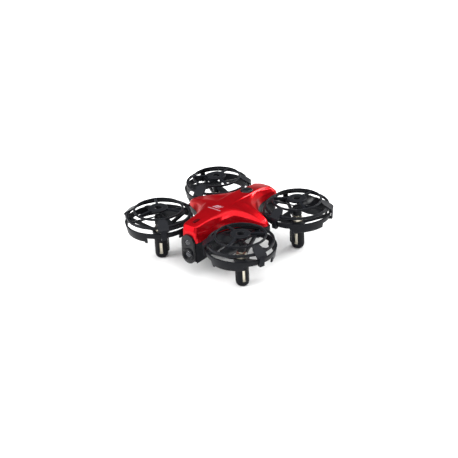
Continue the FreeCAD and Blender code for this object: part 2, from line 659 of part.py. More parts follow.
# ---- build --------------------------------------------------------------------------------------
def build_corners():
    for name, side, end, spoke, windows, hand, rest_angle in CORNERS:
        # A mirrored blade reverses its hand, so the left-hand pieces start from the other one.
        pieces = {
            "duct_": duct(end, spoke, windows),
            "guard_": guard(spoke),
            "propeller_": propeller(hand * side, rest_angle),
            "motor_": motor(),
            "motor_coil_": coil(),
            "motor_shaft_": cylinder(SHAFT_R, SHAFT_BOTTOM, PROP_HUB_TOP - 1.0),
            "motor_cap_": end_cap(end),
            "motor_lead_": tube(lead_route(end), 0.55, 1.6),
        }
        for prefix, shape in pieces.items():
            save(at_corner(shape, side, end), prefix + name)


def build_body():
    save(top_shell(), "top_shell")
    save(lower_shell(), "lower_shell")
    save(camera_bezel(), "camera_bezel")
    save(lens_ring(), "camera_lens_ring")
    save(domed_lens(2.85, BEZEL_Y - 0.4, NOSE_Y - 0.3, CAMERA_Z, 0.9), "camera_lens")
    save(camera_module(), "camera_module")
    save(camera_flex(), "camera_flex")
    save(domed_lens(2.45, BEZEL_Y - 0.3, NOSE_Y + 1.0, SENSOR_Z, 0.7), "sensor_lens")
    save(slot(6.8, 2.3, 42.6, 44.9, 0, LED_Y), "led_window")
    save(box(-1.6, LED_Y - 2.2, 41.2, 1.6, LED_Y + 2.2, 42.3), "status_led")
    save(power_button(), "power_button")
    save(tact_switch(), "power_switch")
    save(main_pcb(), "main_pcb")
    save(pcb_chips(), "pcb_chips")
    save(antenna(), "antenna")
    save(battery_case(), "battery_case")
    save(battery_cell(), "battery_cell")
    save(charge_port(), "charge_port")
    save(battery_socket(), "battery_socket")
    save(screws(body_screw_places(), 28.2, 38.0, 1.5, 0.58), "body_screws")
    save(screws(duct_screw_places(), 27.0, 31.4, 1.5, 0.58), "duct_screws")


os.makedirs("parts", exist_ok=True)
build_body()
build_corners()
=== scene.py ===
"""The looks of a palm-sized ducted quadcopter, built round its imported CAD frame.

Each operator makes one piece or one group of like pieces.  Meshes are laid out in millimetres, in the
frame's own axes, and are scaled to metres when they become objects.
"""

import json
import math
from types import SimpleNamespace

import bmesh
import bpy
from bpy.props import FloatProperty, FloatVectorProperty, IntProperty, PointerProperty
from mathutils import Matrix, Vector


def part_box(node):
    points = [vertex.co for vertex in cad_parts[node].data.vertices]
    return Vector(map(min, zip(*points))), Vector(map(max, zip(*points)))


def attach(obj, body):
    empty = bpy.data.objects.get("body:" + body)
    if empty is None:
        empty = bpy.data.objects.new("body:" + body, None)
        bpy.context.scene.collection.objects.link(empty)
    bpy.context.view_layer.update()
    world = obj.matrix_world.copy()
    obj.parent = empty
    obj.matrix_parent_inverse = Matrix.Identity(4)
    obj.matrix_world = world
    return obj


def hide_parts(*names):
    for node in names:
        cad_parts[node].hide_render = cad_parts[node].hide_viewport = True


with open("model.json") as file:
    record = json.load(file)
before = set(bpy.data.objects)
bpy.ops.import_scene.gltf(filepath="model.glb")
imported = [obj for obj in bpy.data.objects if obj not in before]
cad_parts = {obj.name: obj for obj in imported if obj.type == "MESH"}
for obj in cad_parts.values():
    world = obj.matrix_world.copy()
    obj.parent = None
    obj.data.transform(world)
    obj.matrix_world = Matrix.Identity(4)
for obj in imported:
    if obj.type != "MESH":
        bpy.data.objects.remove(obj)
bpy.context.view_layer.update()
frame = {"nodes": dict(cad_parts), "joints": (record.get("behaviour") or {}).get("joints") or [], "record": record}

bl_info = {
    "name": "Ducted Palm Drone",
    "version": (1, 0, 0),
    "blender": (4, 5, 0),
    "location": "3D View > Sidebar > Palm Drone",
    "description": "Builds the shells, ducts, guards, propellers and finishes of a palm drone",
    "category": "Add Mesh",
}

MM = 0.001
AIRFRAME = "airframe"

# Corner names with their side (+1 right) and end (+1 tail).
CORNERS = [("front_left", -1, -1), ("front_right", 1, -1), ("rear_left", -1, 1), ("rear_right", 1, 1)]
AXES = {joint["name"]: joint["pos_m"] for joint in frame["joints"] if joint.get("continuous")}
MOTOR_X = abs(AXES["propeller_front_left_spin"][0]) / MM
MOTOR_Y = abs(AXES["propeller_front_left_spin"][1]) / MM


# ---- node trees written as expressions ----------------------------------------------------------
class Signal:
    """The output of a node, with the arithmetic that shader and geometry maths need."""

    def __init__(self, tree, socket):
        self.tree = tree
        self.socket = socket

    def __add__(self, other):
        return self.tree.maths("ADD", self, other)

    def __sub__(self, other):
        return self.tree.maths("SUBTRACT", self, other)

    def __rsub__(self, other):
        return self.tree.maths("SUBTRACT", other, self)

    def __mul__(self, other):
        return self.tree.maths("MULTIPLY", self, other)

    def __truediv__(self, other):
        return self.tree.maths("DIVIDE", self, other)

    def __rtruediv__(self, other):
        return self.tree.maths("DIVIDE", other, self)

    def __pow__(self, other):
        return self.tree.maths("POWER", self, other)

    def __gt__(self, other):
        return self.tree.maths("GREATER_THAN", self, other)

    def __lt__(self, other):
        return self.tree.maths("LESS_THAN", self, other)

    __radd__ = __add__
    __rmul__ = __mul__


class Tree:
    """Adds nodes to a material's or a modifier's tree."""

    def __init__(self, node_tree):
        self.nodes = node_tree.nodes
        self.links = node_tree.links

    def add(self, kind, settings=None, sockets=None, output=0):
        """One node: its settings first, then values or links for its sockets."""
        node = self.nodes.new(kind)
        for name, value in (settings or {}).items():
            setattr(node, name, value)
        for name, value in (sockets or {}).items():
            if isinstance(value, Signal):
                self.links.new(value.socket, node.inputs[name])
            else:
                node.inputs[name].default_value = value
        return Signal(self, node.outputs[output]) if node.outputs else None

    def maths(self, operation, first, second=0.0):
        return self.add("ShaderNodeMath", {"operation": operation}, {0: first, 1: second})


# ---- mesh helpers, in millimetres ---------------------------------------------------------------
def circle_point(radius, degrees, z=0.0):
    a = math.radians(degrees)
    return Vector((radius * math.cos(a), radius * math.sin(a), z))


def eased(outline, radius, steps=3):
    """A closed outline with every corner off the axis turned into a small curve."""
    result = []
    for i, point in enumerate(outline):
        here, before = Vector(point), Vector(outline[i - 1])
        after = Vector(outline[(i + 1) % len(outline)])
        if here.x == 0.0:
            result.append(here)
            continue
        start = here.lerp(before, min(radius / max((before - here).length, radius), 0.45))
        end = here.lerp(after, min(radius / max((after - here).length, radius), 0.45))
        for k in range(steps + 1):
            t = k / steps
            result.append(start.lerp(here, t).lerp(here.lerp(end, t), t))
    return result


def lathe(outline, steps=96):
    """A body of revolution about Z from a closed outline of (radius, height)."""
    bm = bmesh.new()
    rows = []
    for k in range(steps):
        a = 2.0 * math.pi * k / steps
        rows.append([bm.verts.new((r * math.cos(a), r * math.sin(a), z)) for r, z in outline])
    for k, row in enumerate(rows):
        following = rows[(k + 1) % steps]
        for i in range(len(outline)):
            j = (i + 1) % len(outline)
            if outline[i][0] or outline[j][0]:
                bm.faces.new((row[i], following[i], following[j], row[j]))
    return bm


def extrusion(base, offset, ease=0.25, segments=2):
    """A closed body from a flat loop of points, pushed along offset, with eased edges."""
    bm = bmesh.new()
    low = [bm.verts.new(p) for p in base]
    high = [bm.verts.new(Vector(p) + offset) for p in base]
    bm.faces.new(low)
    bm.faces.new(high[::-1])
    for i in range(len(low)):
        j = (i + 1) % len(low)
        bm.faces.new((low[i], high[i], high[j], low[j]))
    if ease:
        sharp = [e for e in bm.edges if e.calc_face_angle(0.0) > math.radians(25.0)]
        bmesh.ops.bevel(bm, geom=sharp, offset=ease, segments=segments, profile=0.5, affect="EDGES",
                        clamp_overlap=True)
    return bm


def bar(outline, width, angle=0.0, ease=0.25):
    """An upright bar on a radius: (radius, height) outline, given width, turned about Z."""
    base = [(r, -width / 2.0, z) for r, z in outline]
    bm = extrusion(base, Vector((0, width, 0)), ease)
    bm.transform(Matrix.Rotation(math.radians(angle), 4, "Z"))
    return bm


def joined(parts):
    """Several bodies in one mesh."""
    total = bmesh.new()
    for part in parts:
        holder = bpy.data.meshes.new("part")
        part.to_mesh(holder)
        part.free()
        total.from_mesh(holder)
        bpy.data.meshes.remove(holder)
    return total


def corner_matrix(side, end):
    """Takes a right-hand piece at the origin to its corner, mirrored for the left-hand side."""
    return Matrix.Translation((side * MOTOR_X, end * MOTOR_Y, 0)) @ Matrix.Diagonal((side, 1, 1, 1))


def new_object(name, bm, material):
    """Turns a body in millimetres into an object in metres, normals outward."""
    bmesh.ops.remove_doubles(bm, verts=bm.verts, dist=0.0005)
    bmesh.ops.recalc_face_normals(bm, faces=bm.faces)
    bm.transform(Matrix.Scale(MM, 4))
    mesh = bpy.data.meshes.new(name)
    bm.to_mesh(mesh)
    bm.free()
    mesh.materials.append(material)
    piece = bpy.data.objects.new(name, mesh)
    bpy.context.scene.collection.objects.link(piece)
    return piece


def settled(piece):
    """Replaces a piece's mesh by the result of its modifiers, and removes them."""
    bpy.context.view_layer.update()
    shape = piece.evaluated_get(bpy.context.evaluated_depsgraph_get())
    mesh = bpy.data.meshes.new_from_object(shape)
    mesh.name = piece.name
    piece.modifiers.clear()
    piece.data = mesh
    return piece


def cut(piece, *cutters, folded=False):
    """Cuts closed bodies out of a piece, whose own walls may touch each other if it is folded."""
    for i, bm in enumerate(cutters):
        tool = new_object("cutter_%d" % i, bm, piece.data.materials[0])
        modifier = piece.modifiers.new("cut", "BOOLEAN")
        modifier.operation = "DIFFERENCE"
        modifier.solver = "EXACT"
        modifier.use_self = folded
        modifier.object = tool
        settled(piece)
        bpy.data.objects.remove(tool)
    return piece


def soften(piece, width, segments=2, angle=32.0):
    """Rounds the sharp edges of a piece by a small bevel."""
    modifier = piece.modifiers.new("edges", "BEVEL")
    modifier.width = width * MM
    modifier.segments = segments
    modifier.limit_method = "ANGLE"
    modifier.angle_limit = math.radians(angle)
    modifier.use_clamp_overlap = True
    return settled(piece)


def shade(piece, angle=35.0):
    """Smooth shading that stops at sharp edges, and a value at each edge that the materials use for worn edges,
    and the clear parts for a painted shade on their rims.
    """
    mesh = piece.data
    mesh.polygons.foreach_set("use_smooth", [True] * len(mesh.polygons))
    mesh.set_sharp_from_angle(angle=math.radians(angle))
    bm = bmesh.new()
    bm.from_mesh(mesh)
    wear_and_rim_shade = mesh.attributes.new("edge_wear", "FLOAT", "POINT")
    values = []
    for vertex in bm.verts:
        bends = [e.calc_face_angle_signed(0.0) for e in vertex.link_edges if e.is_manifold]
        values.append(min(max(max(bends, default=0.0), 0.0), 1.2) / 1.2)
    bm.free()
    wear_and_rim_shade.data.foreach_set("value", values)
    return piece


def placed(piece, body, slot, *nodes):
    """Tells the frame what the piece moves with and what it stands for; the slot it is given is not used."""
    shade(piece)
    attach(piece, body)
    if nodes:
        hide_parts(*nodes)
    return piece


# ---- finishes -----------------------------------------------------------------------------------
class Finish(Tree):
    """A new material and the patterns that several finishes share."""

    def __init__(self, name):
        plain = bpy.data.materials.get(name)
        if plain:
            plain.name = "plain_" + name
        self.material = bpy.data.materials.new(name)
        self.material.use_nodes = True
        self.material.node_tree.nodes.clear()
        super().__init__(self.material.node_tree)
        self.place = self.add("ShaderNodeTexCoord", output=3)
        # The bend at each convex edge: worn edges on most finishes, a painted shade on the rims of clear parts.
        self.wear_and_rim_shade = self.add("ShaderNodeAttribute", {"attribute_name": "edge_wear"}, output=2)

    def stretched(self, x, y, z):
        """The place on the piece with its axes scaled, for streaks."""
        return self.add("ShaderNodeVectorMath", {"operation": "MULTIPLY"}, {0: self.place, 1: (x, y, z)})

    def noise(self, size_mm, detail=2.0, place=None):
        """Soft noise whose features are about size_mm across."""
        return self.add("ShaderNodeTexNoise", {}, {"Vector": place or self.place,
                                                   "Scale": 1.0 / (size_mm * MM),
                                                   "Detail": detail, "Roughness": 0.55})

    def cells(self, size_mm):
        """A random number for each small cell, as in metal flake."""
        scale = 1.0 / (size_mm * MM)
        colour = self.add("ShaderNodeTexVoronoi", {}, {"Vector": self.place, "Scale": scale}, 1)
        return self.add("ShaderNodeSeparateColor", {}, {0: colour})

    def axis(self, index):
        """One coordinate of the place on the piece, in millimetres."""
        return self.add("ShaderNodeSeparateXYZ", {}, {0: self.place}, index) * (1.0 / MM)

    def blend(self, share, first, second):
        return self.add("ShaderNodeMix", {"data_type": "RGBA"}, {0: share, 6: first, 7: second}, 2)

    def ramp(self, value, low, high):
        """Value mapped so that low gives 0 and high gives 1, held at both ends."""
        return self.add("ShaderNodeMapRange", {"clamp": True}, {0: value, 1: low, 2: high})

    def bump(self, height, depth_mm, strength=1.0):
        return self.add("ShaderNodeBump", {}, {"Height": height, "Distance": depth_mm * MM,
                                               "Strength": strength})

    def close(self, **sockets):
        """Adds the surface shader; underscores in a name stand for spaces."""
        named = {name.replace("_", " "): value for name, value in sockets.items()}
        shader = self.add("ShaderNodeBsdfPrincipled", {}, named)
        self.add("ShaderNodeOutputMaterial", {}, {"Surface": shader})
        return self.material


def shade_of(colour, factor):
    """A colour made darker or lighter, with full alpha."""
    return tuple(min(c * factor, 1.0) for c in colour[:3]) + (1.0,)


def stripe_mask(finish):
    """Where the deck's printed mark lies: three slanted bars above one thin line."""
    x, y, z = finish.axis(0), finish.axis(1), finish.axis(2)
    slanted = x - 0.55 * (y + 12.8)
    inside = finish.maths("ABSOLUTE", y + 12.8) < 2.2
    wave = finish.maths("PINGPONG", slanted + 0.65, 1.3)
    bars = (wave > 0.62) * (finish.maths("ABSOLUTE", slanted) < 3.25) * inside
    line = (finish.maths("ABSOLUTE", y + 17.2) < 0.3) * (finish.maths("ABSOLUTE", x) < 6.4)
    return finish.maths("MAXIMUM", bars, line) * (z > 44.6)


def candy_red(colour):
    """Clear-coated metallic red: dark in its shade, bright where it catches light, with fine flakes."""
    finish = Finish("red_shell")
    flakes = finish.cells(0.09)
    patches = finish.noise(14.0)
    depth = finish.blend(finish.ramp(patches, 0.3, 0.7), shade_of(colour, 0.82), shade_of(colour, 1.12))
    sparkle = finish.blend((flakes > 0.93) * 0.12, depth, shade_of(colour, 1.5))
    worn = finish.blend(finish.wear_and_rim_shade * finish.noise(0.7, 4.0) * 0.35, sparkle, shade_of(colour, 1.4))
    mark = stripe_mask(finish)
    inked = finish.blend(mark * (0.7 + 0.15 * finish.noise(0.4)), worn, (0.36, 0.33, 0.38, 1.0))
    peel = finish.noise(1.6, 1.0)
    return finish.close(Base_Color=inked, Metallic=0.72 - 0.5 * mark,
                        Roughness=0.26 + 0.015 * flakes + 0.05 * finish.noise(5.0) + 0.1 * mark,
                        Coat_Weight=0.18 - 0.08 * finish.wear_and_rim_shade, Coat_Roughness=0.07,
                        Specular_IOR_Level=0.4, Specular_Tint=(0.6, 0.1, 0.12, 1.0),
                        Normal=finish.bump(peel, 0.004, 0.3))


def moulded(name, colour, roughness, grain, coat=0.0):
    """Black moulded plastic: spark-eroded grain, flow streaks, handling shine and paler edges."""
    finish = Finish(name)
    texture = finish.noise(0.22, 3.0)
    streaks = finish.noise(3.0, 2.0, finish.stretched(1.0, 1.0, 0.25))
    rubbed = finish.ramp(finish.noise(8.0, 3.0), 0.45, 0.75)
    tone = finish.blend(streaks, shade_of(colour, 0.8), shade_of(colour, 1.25))
    grained = finish.blend(finish.ramp(texture, 0.55, 0.8) * 0.4, tone, shade_of(colour, 1.7))
    edged = finish.blend(finish.wear_and_rim_shade * (0.25 + 0.5 * finish.noise(0.9, 4.0)), grained, shade_of(colour, 1.7))
    return finish.close(Base_Color=edged,
                        Roughness=roughness + 0.10 * texture - 0.09 * rubbed - 0.08 * finish.wear_and_rim_shade,
                        Coat_Weight=coat, Coat_Roughness=0.12, Specular_IOR_Level=0.1,
                        Normal=finish.bump(texture + 0.3 * streaks, grain, 0.6))


def metal(name, colour, roughness, stretch=(1.0, 1.0, 1.0), tarnish=0.25):
    """Bare metal with drawing lines along one way, small dents and a little tarnish."""
    finish = Finish(name)
    lines = finish.noise(0.25, 3.0, finish.stretched(*stretch))
    stains = finish.ramp(finish.noise(2.6, 4.0), 0.45, 0.8)
    tone = finish.blend(lines, shade_of(colour, 0.86), shade_of(colour, 1.1))
    stained = finish.blend(stains * tarnish, tone, shade_of(colour, 0.55))
    edged = finish.blend(finish.wear_and_rim_shade * 0.5, stained, shade_of(colour, 1.25))
    return finish.close(Base_Color=edged, Metallic=1.0, Roughness=roughness + 0.14 * lines + 0.15 * stains,
                        Normal=finish.bump(lines, 0.01, 0.4))


def clear_part(name, colour, alpha, roughness=0.04):
    """Tinted glossy window or lens with dust, and a darker, less clear rim that is partly a dark surround and
    partly painted shade of the gap round it.
    """
    finish = Finish(name)
    dust = finish.ramp(finish.noise(0.5, 5.0), 0.6, 0.9)
    tone = finish.blend(dust * 0.12, colour, shade_of(colour, 3.0))
    # Painted shade: the rim is darkened and made less clear, partly as a dark surround and partly as the shade in
    # the gap round the part.
    rim_with_painted_shade = finish.blend(finish.wear_and_rim_shade * 0.7, tone, shade_of(colour, 0.3))
    return finish.close(Base_Color=rim_with_painted_shade, Roughness=roughness + 0.12 * dust, Alpha=alpha + 0.1 * finish.wear_and_rim_shade,
                        Coat_Weight=0.4, Coat_Roughness=0.02, IOR=1.5)


def circuit_board(colour):
    """Solder mask over copper tracks, with the weave of the laminate just showing."""
    finish = Finish("circuit_board")
    x, y = finish.axis(0), finish.axis(1)
    across = finish.maths("PINGPONG", x + 0.6 * finish.noise(6.0), 0.55)
    along = finish.maths("PINGPONG", y + 0.8 * finish.noise(7.0), 0.7)
    tracks = finish.maths("MAXIMUM", across > 0.42, along > 0.58)
    weave = finish.noise(0.3, 2.0, finish.stretched(1.0, 3.0, 1.0))
    green = finish.blend(weave, shade_of(colour, 0.8), shade_of(colour, 1.2))
    tracked = finish.blend(tracks * 0.55, green, (0.10, 0.34, 0.12, 1.0))
    return finish.close(Base_Color=tracked, Roughness=0.34 + 0.12 * weave,
                        Coat_Weight=0.4, Normal=finish.bump(tracks + 0.2 * weave, 0.03, 0.5))


def wrinkled_foil(colour):
    """The crimped aluminium pouch of a lithium cell."""
    finish = Finish("cell_pouch")
    creases = finish.noise(1.8, 5.0)
    tone = finish.blend(creases, shade_of(colour, 0.8), shade_of(colour, 1.15))
    return finish.close(Base_Color=tone, Metallic=0.85, Roughness=0.3 + 0.2 * creases,
                        Normal=finish.bump(creases, 0.15, 0.6))


def floor_paper(colour):
    """Pale seamless paper with a faint tooth."""
    finish = Finish("paper")
    tooth = finish.noise(1.2, 4.0)
    tone = finish.blend(tooth, shade_of(colour, 0.985), shade_of(colour, 1.0))
    return finish.close(Base_Color=tone, Roughness=0.85 + 0.08 * tooth, Normal=finish.bump(tooth, 0.05, 0.2))


# ---- geometry node trees ------------------------------------------------------------------------
class Recipe(Tree):
    """A modifier's tree with named inputs, ending in Realize Instances and Set Material."""

    def __init__(self, name, inputs):
        self.group = bpy.data.node_groups.new(name, "GeometryNodeTree")
        super().__init__(self.group)
        sockets = [("Geometry", "NodeSocketGeometry"), *inputs, ("Material", "NodeSocketMaterial")]
        for label, kind in sockets:
            self.group.interface.new_socket(label, in_out="INPUT", socket_type=kind)
        self.group.interface.new_socket("Geometry", in_out="OUTPUT", socket_type="NodeSocketGeometry")
        self.entry = self.nodes.new("NodeGroupInput")

    def given(self, label):
        return Signal(self, self.entry.outputs[label])

    def join(self, *shapes):
        node = self.nodes.new("GeometryNodeJoinGeometry")
        for shape in shapes:
            self.links.new(shape.socket, node.inputs[0])
        return Signal(self, node.outputs[0])

    def turned_copies(self, shape, count, start, step):
        """Copies of shape turned about Z, one for each step."""
        points = self.add("GeometryNodeMeshLine", {"mode": "OFFSET"}, {"Count": count, "Offset": (0, 0, 0)})
        index = self.add("GeometryNodeInputIndex")
        turn = self.add("ShaderNodeCombineXYZ", {}, {2: start + index * step})
        return self.add("GeometryNodeInstanceOnPoints", {},
                        {"Points": points, "Instance": shape, "Rotation": turn})

    def close(self, shape):
        solid = self.add("GeometryNodeRealizeInstances", {}, {"Geometry": shape})
        painted = self.add("GeometryNodeSetMaterial", {}, {"Geometry": solid,
                                                           "Material": self.given("Material")})
        exit_node = self.nodes.new("NodeGroupOutput")
        self.links.new(painted.socket, exit_node.inputs[0])
        return self.group


def round_array_recipe():
    """Repeats the piece's own mesh about Z, as spokes, struts, clips and ribs are."""
    recipe = Recipe("Round Array", [("Count", "NodeSocketInt"), ("Start", "NodeSocketFloat"),
                                    ("Step", "NodeSocketFloat")])
    copies = recipe.turned_copies(recipe.given("Geometry"), recipe.given("Count"), recipe.given("Start"),
                                  recipe.given("Step"))
    return recipe.close(copies)


def hoop_recipe():
    """Adds a round hoop of rounded rectangular section to the piece."""
    recipe = Recipe("Hoop", [("Radius", "NodeSocketFloat"), ("Band", "NodeSocketFloat"),
                             ("Depth", "NodeSocketFloat"), ("Top", "NodeSocketFloat"),
                             ("Ease", "NodeSocketFloat")])
    band, depth = recipe.given("Band"), recipe.given("Depth")
    middle = recipe.given("Radius") - band * 0.5
    circle = recipe.add("GeometryNodeCurvePrimitiveCircle", {}, {"Resolution": 96, "Radius": middle})
    corners = recipe.add("GeometryNodeCurvePrimitiveQuadrilateral", {}, {"Width": band, "Height": depth})
    section = recipe.add("GeometryNodeFilletCurve", {"mode": "POLY"},
                         {"Curve": corners, "Count": 3, "Radius": recipe.given("Ease"),
                          "Limit Radius": True})
    hoop = recipe.add("GeometryNodeCurveToMesh", {}, {"Curve": circle, "Profile Curve": section})
    lift = recipe.add("ShaderNodeCombineXYZ", {}, {2: recipe.given("Top") - depth * 0.5})
    raised = recipe.add("GeometryNodeTransform", {}, {"Geometry": hoop, "Translation": lift})
    return recipe.close(recipe.join(recipe.given("Geometry"), raised))


def blade_recipe():
    """Paddle blades by rule: chord, pitch, thickness and camber all follow the radius."""
    recipe = Recipe("Paddle Blades", [("Count", "NodeSocketInt"), ("Rest Angle", "NodeSocketFloat"),
                                      ("Hand", "NodeSocketFloat"), ("Root Radius", "NodeSocketFloat"),
                                      ("Tip Radius", "NodeSocketFloat"), ("Chord", "NodeSocketFloat"),
                                      ("Thickness", "NodeSocketFloat"), ("Height", "NodeSocketFloat"),
                                      ("Root Pitch", "NodeSocketFloat"), ("Tip Pitch", "NodeSocketFloat")])
    root, tip = recipe.given("Root Radius"), recipe.given("Tip Radius")
    spar = recipe.add("GeometryNodeCurvePrimitiveLine", {}, {
        "Start": recipe.add("ShaderNodeCombineXYZ", {}, {0: root}),
        "End": recipe.add("ShaderNodeCombineXYZ", {}, {0: tip})})
    stations = recipe.add("GeometryNodeResampleCurve", {"mode": "COUNT"}, {"Curve": spar, "Count": 30})
    section = recipe.add("GeometryNodeCurvePrimitiveCircle", {}, {"Resolution": 20, "Radius": 0.5})
    tube = recipe.add("GeometryNodeCurveToMesh", {},
                      {"Curve": stations, "Profile Curve": section, "Fill Caps": True})
    place = recipe.add("GeometryNodeInputPosition")
    parts = {i: recipe.add("ShaderNodeSeparateXYZ", {}, {0: place}, i) for i in range(3)}
    share = (parts[0] - root) / (tip - root)
    swell = recipe.maths("SINE", recipe.maths("MINIMUM", share / 0.55, 1.0) * (math.pi / 2.0))
    past = recipe.maths("MAXIMUM", (share - 0.80) / 0.20, 0.0)
    nose = recipe.maths("SQRT", recipe.maths("MAXIMUM", 1.0 - past ** 2.4, 0.0009))
    chord = recipe.given("Chord") * (0.5 + 0.5 * swell) * nose
    lens = 1.0 - (2.0 * parts[1]) ** 2.0
    thick = recipe.given("Thickness") * (1.0 - 0.55 * share) * (0.3 + 0.7 * nose)
    camber = 0.07 * chord * lens
    y, z = parts[1] * chord, parts[2] * thick + camber
    steep, shallow = recipe.given("Root Pitch"), recipe.given("Tip Pitch")
    pitch = steep + (shallow - steep) * share ** 0.7
    turn = pitch * recipe.given("Hand")
    sine, cosine = recipe.maths("SINE", turn), recipe.maths("COSINE", turn)
    shaped = recipe.add("GeometryNodeSetPosition", {}, {"Geometry": tube, "Position": recipe.add(
        "ShaderNodeCombineXYZ", {}, {0: parts[0], 1: y * cosine - z * sine,
                                     2: y * sine + z * cosine + recipe.given("Height")})})
    fan = recipe.turned_copies(shaped, recipe.given("Count"), recipe.given("Rest Angle"),
                               2.0 * math.pi / recipe.given("Count"))
    return recipe.close(recipe.join(recipe.given("Geometry"), fan))


def scatter_recipe():
    """Puts a copy of one part at each of the piece's own points, as screws are."""
    recipe = Recipe("Part At Points", [("Part", "NodeSocketObject")])
    part = recipe.add("GeometryNodeObjectInfo", {}, {"Object": recipe.given("Part")}, 4)
    copies = recipe.add("GeometryNodeInstanceOnPoints", {},
                        {"Points": recipe.given("Geometry"), "Instance": part})
    return recipe.close(copies)


RECIPES = {"Round Array": round_array_recipe, "Hoop": hoop_recipe, "Paddle Blades": blade_recipe,
           "Part At Points": scatter_recipe}


def apply_recipe(piece, name, values):
    """Runs a geometry node tree on a piece with its named inputs, and keeps the plain mesh."""
    group = bpy.data.node_groups.get(name) or RECIPES[name]()
    sockets = {item.name: item.identifier for item in group.interface.items_tree if item.in_out == "INPUT"}
    modifier = piece.modifiers.new(name, "NODES")
    modifier.node_group = group
    modifier[sockets["Material"]] = piece.data.materials[0]
    for label, value in values.items():
        modifier[sockets[label]] = value
    material = piece.data.materials[0]
    settled(piece)
    piece.data.materials.clear()
    piece.data.materials.append(material)
    return piece


# ---- settings a user would change ---------------------------------------------------------------
def length(name, default, description):
    """A length property whose default is given in millimetres."""
    return FloatProperty(name=name, default=default * MM, min=0.0, precision=5, unit="LENGTH",
                         description=description)


def angle(name, default, description):
    return FloatProperty(name=name, default=math.radians(default), description=description,
                         subtype="ANGLE", unit="ROTATION")


def colour(name, default, description):
    return FloatVectorProperty(name=name, default=default, size=3, min=0.0, max=1.0, description=description,
                               subtype="COLOR")


def ratio(name, default, description):
    return FloatProperty(name=name, default=default, min=0.0, max=1.0, description=description,
                         subtype="FACTOR")


class DroneColours(bpy.types.PropertyGroup):
    """Colours of the finishes."""

    shell: colour("Shell", (0.46, 0.003, 0.008), "Candy red of the top shell")
    plastic: colour("Plastic", (0.0045, 0.005, 0.0066), "Black of the ducts, guards and lower shell")
    motor: colour("Motor", (0.60, 0.56, 0.46), "Plated steel of the motor cans")
    board: colour("Board", (0.012, 0.11, 0.04), "Solder mask of the circuit board")
    paper: colour("Paper", (0.86, 0.86, 0.86), "Seamless paper under the drone")
    duct_roughness: ratio("Duct roughness", 0.42, "How matt the ducts and guards are")


class ShellSizes(bpy.types.PropertyGroup):
    """Sizes of the top shell."""

    wall: length("Wall", 1.2, "Thickness of the shell")
    arc: length("Hollow side", 32.0, "Radius of the shell's hollow sides round each duct")
    nose_y: length("Nose", 50.2, "Distance of the nose from the middle")
    tail_y: length("Tail", 53.2, "Distance of the tail from the middle")
    lobe_x: length("Lobe", 40.3, "Reach of the side lobes")
    ridge: length("Ridge", 6.3, "Half width of the raised ridge on the rear deck")
    ridge_step: length("Ridge step", 0.55, "Height of the ridge above the deck beside it")
    crease: ratio("Crease", 1.0, "Sharpness of the bevels along the sides")
    smoothness: IntProperty(name="Smoothness", default=3, min=1, max=4, description="Subdivision steps")


class DuctSizes(bpy.types.PropertyGroup):
    """Sizes of the ducts and their motor pods."""

    radius: length("Ring radius", 28.0, "Outside of the ring at its top edge")
    wall: length("Ring wall", 1.6, "Thickness of the ring")
    top: length("Ring top", 34.0, "Height of the ring's top edge")
    thin_bottom: length("Thin part", 29.6, "Height of the ring's bottom between the skirts")
    skirt_bottom: length("Skirt", 26.0, "Height of the deep skirts' bottom edge")
    tooth_bottom: length("Tooth", 24.7, "Height of the small teeth's lower end")
    pod_radius: length("Pod radius", 5.4, "Outside of the motor pod")
    pod_top: length("Pod top", 24.4, "Height of the pod's collar")
    bore: length("Pod bore", 4.29, "Radius of the hole that holds the motor")


class GuardSizes(bpy.types.PropertyGroup):
    """Sizes of the clip-on guards."""

    top: length("Top", 44.6, "Height of the hub disc")
    hub_radius: length("Hub radius", 7.9, "Outside of the hub disc")
    hole_radius: length("Hub hole", 3.2, "Radius of the hole in the hub disc")
    inner_radius: length("Inner ring", 20.5, "Outside of the inner ring")
    inner_band: length("Inner band", 1.6, "Radial width of the inner ring")
    rim_radius: length("Rim", 26.4, "Outside of the rim")
    rim_band: length("Rim band", 1.8, "Radial width of the rim")
    rim_top: length("Rim top", 39.4, "Height of the rim's top")
    clip_radius: length("Clip reach", 29.6, "Outside of the latches")
    clip_width: length("Clip width", 8.8, "Width of the clips' sloping plates")
    latch_width: length("Latch width", 4.2, "Width of the latches")
    front_angle: angle("Front spoke", 41.0, "Angle of the first spoke on the front guards")
    rear_angle: angle("Rear spoke", 85.0, "Angle of the first spoke on the rear guards")


class PropellerSizes(bpy.types.PropertyGroup):
    """Sizes of the propellers."""

    blades: IntProperty(name="Blades", default=4, min=2, max=6, description="Blades on each propeller")
    tip_radius: length("Tip radius", 23.7, "Radius of the blades' ends")
    chord: length("Chord", 9.3, "Greatest width of a blade")
    thickness: length("Thickness", 1.15, "Thickness of a blade at its root")
    height: length("Height", 36.4, "Height of the blades' middle plane")
    root_pitch: angle("Root pitch", 33.0, "Blade angle beside the hub")
    tip_pitch: angle("Tip pitch", 11.0, "Blade angle at the tip")
    hub_radius: length("Hub radius", 3.9, "Outside of the hub")
    hub_top: length("Hub top", 37.8, "Height of the hub's top")
    hub_bottom: length("Hub bottom", 29.9, "Height of the hub's lower end")


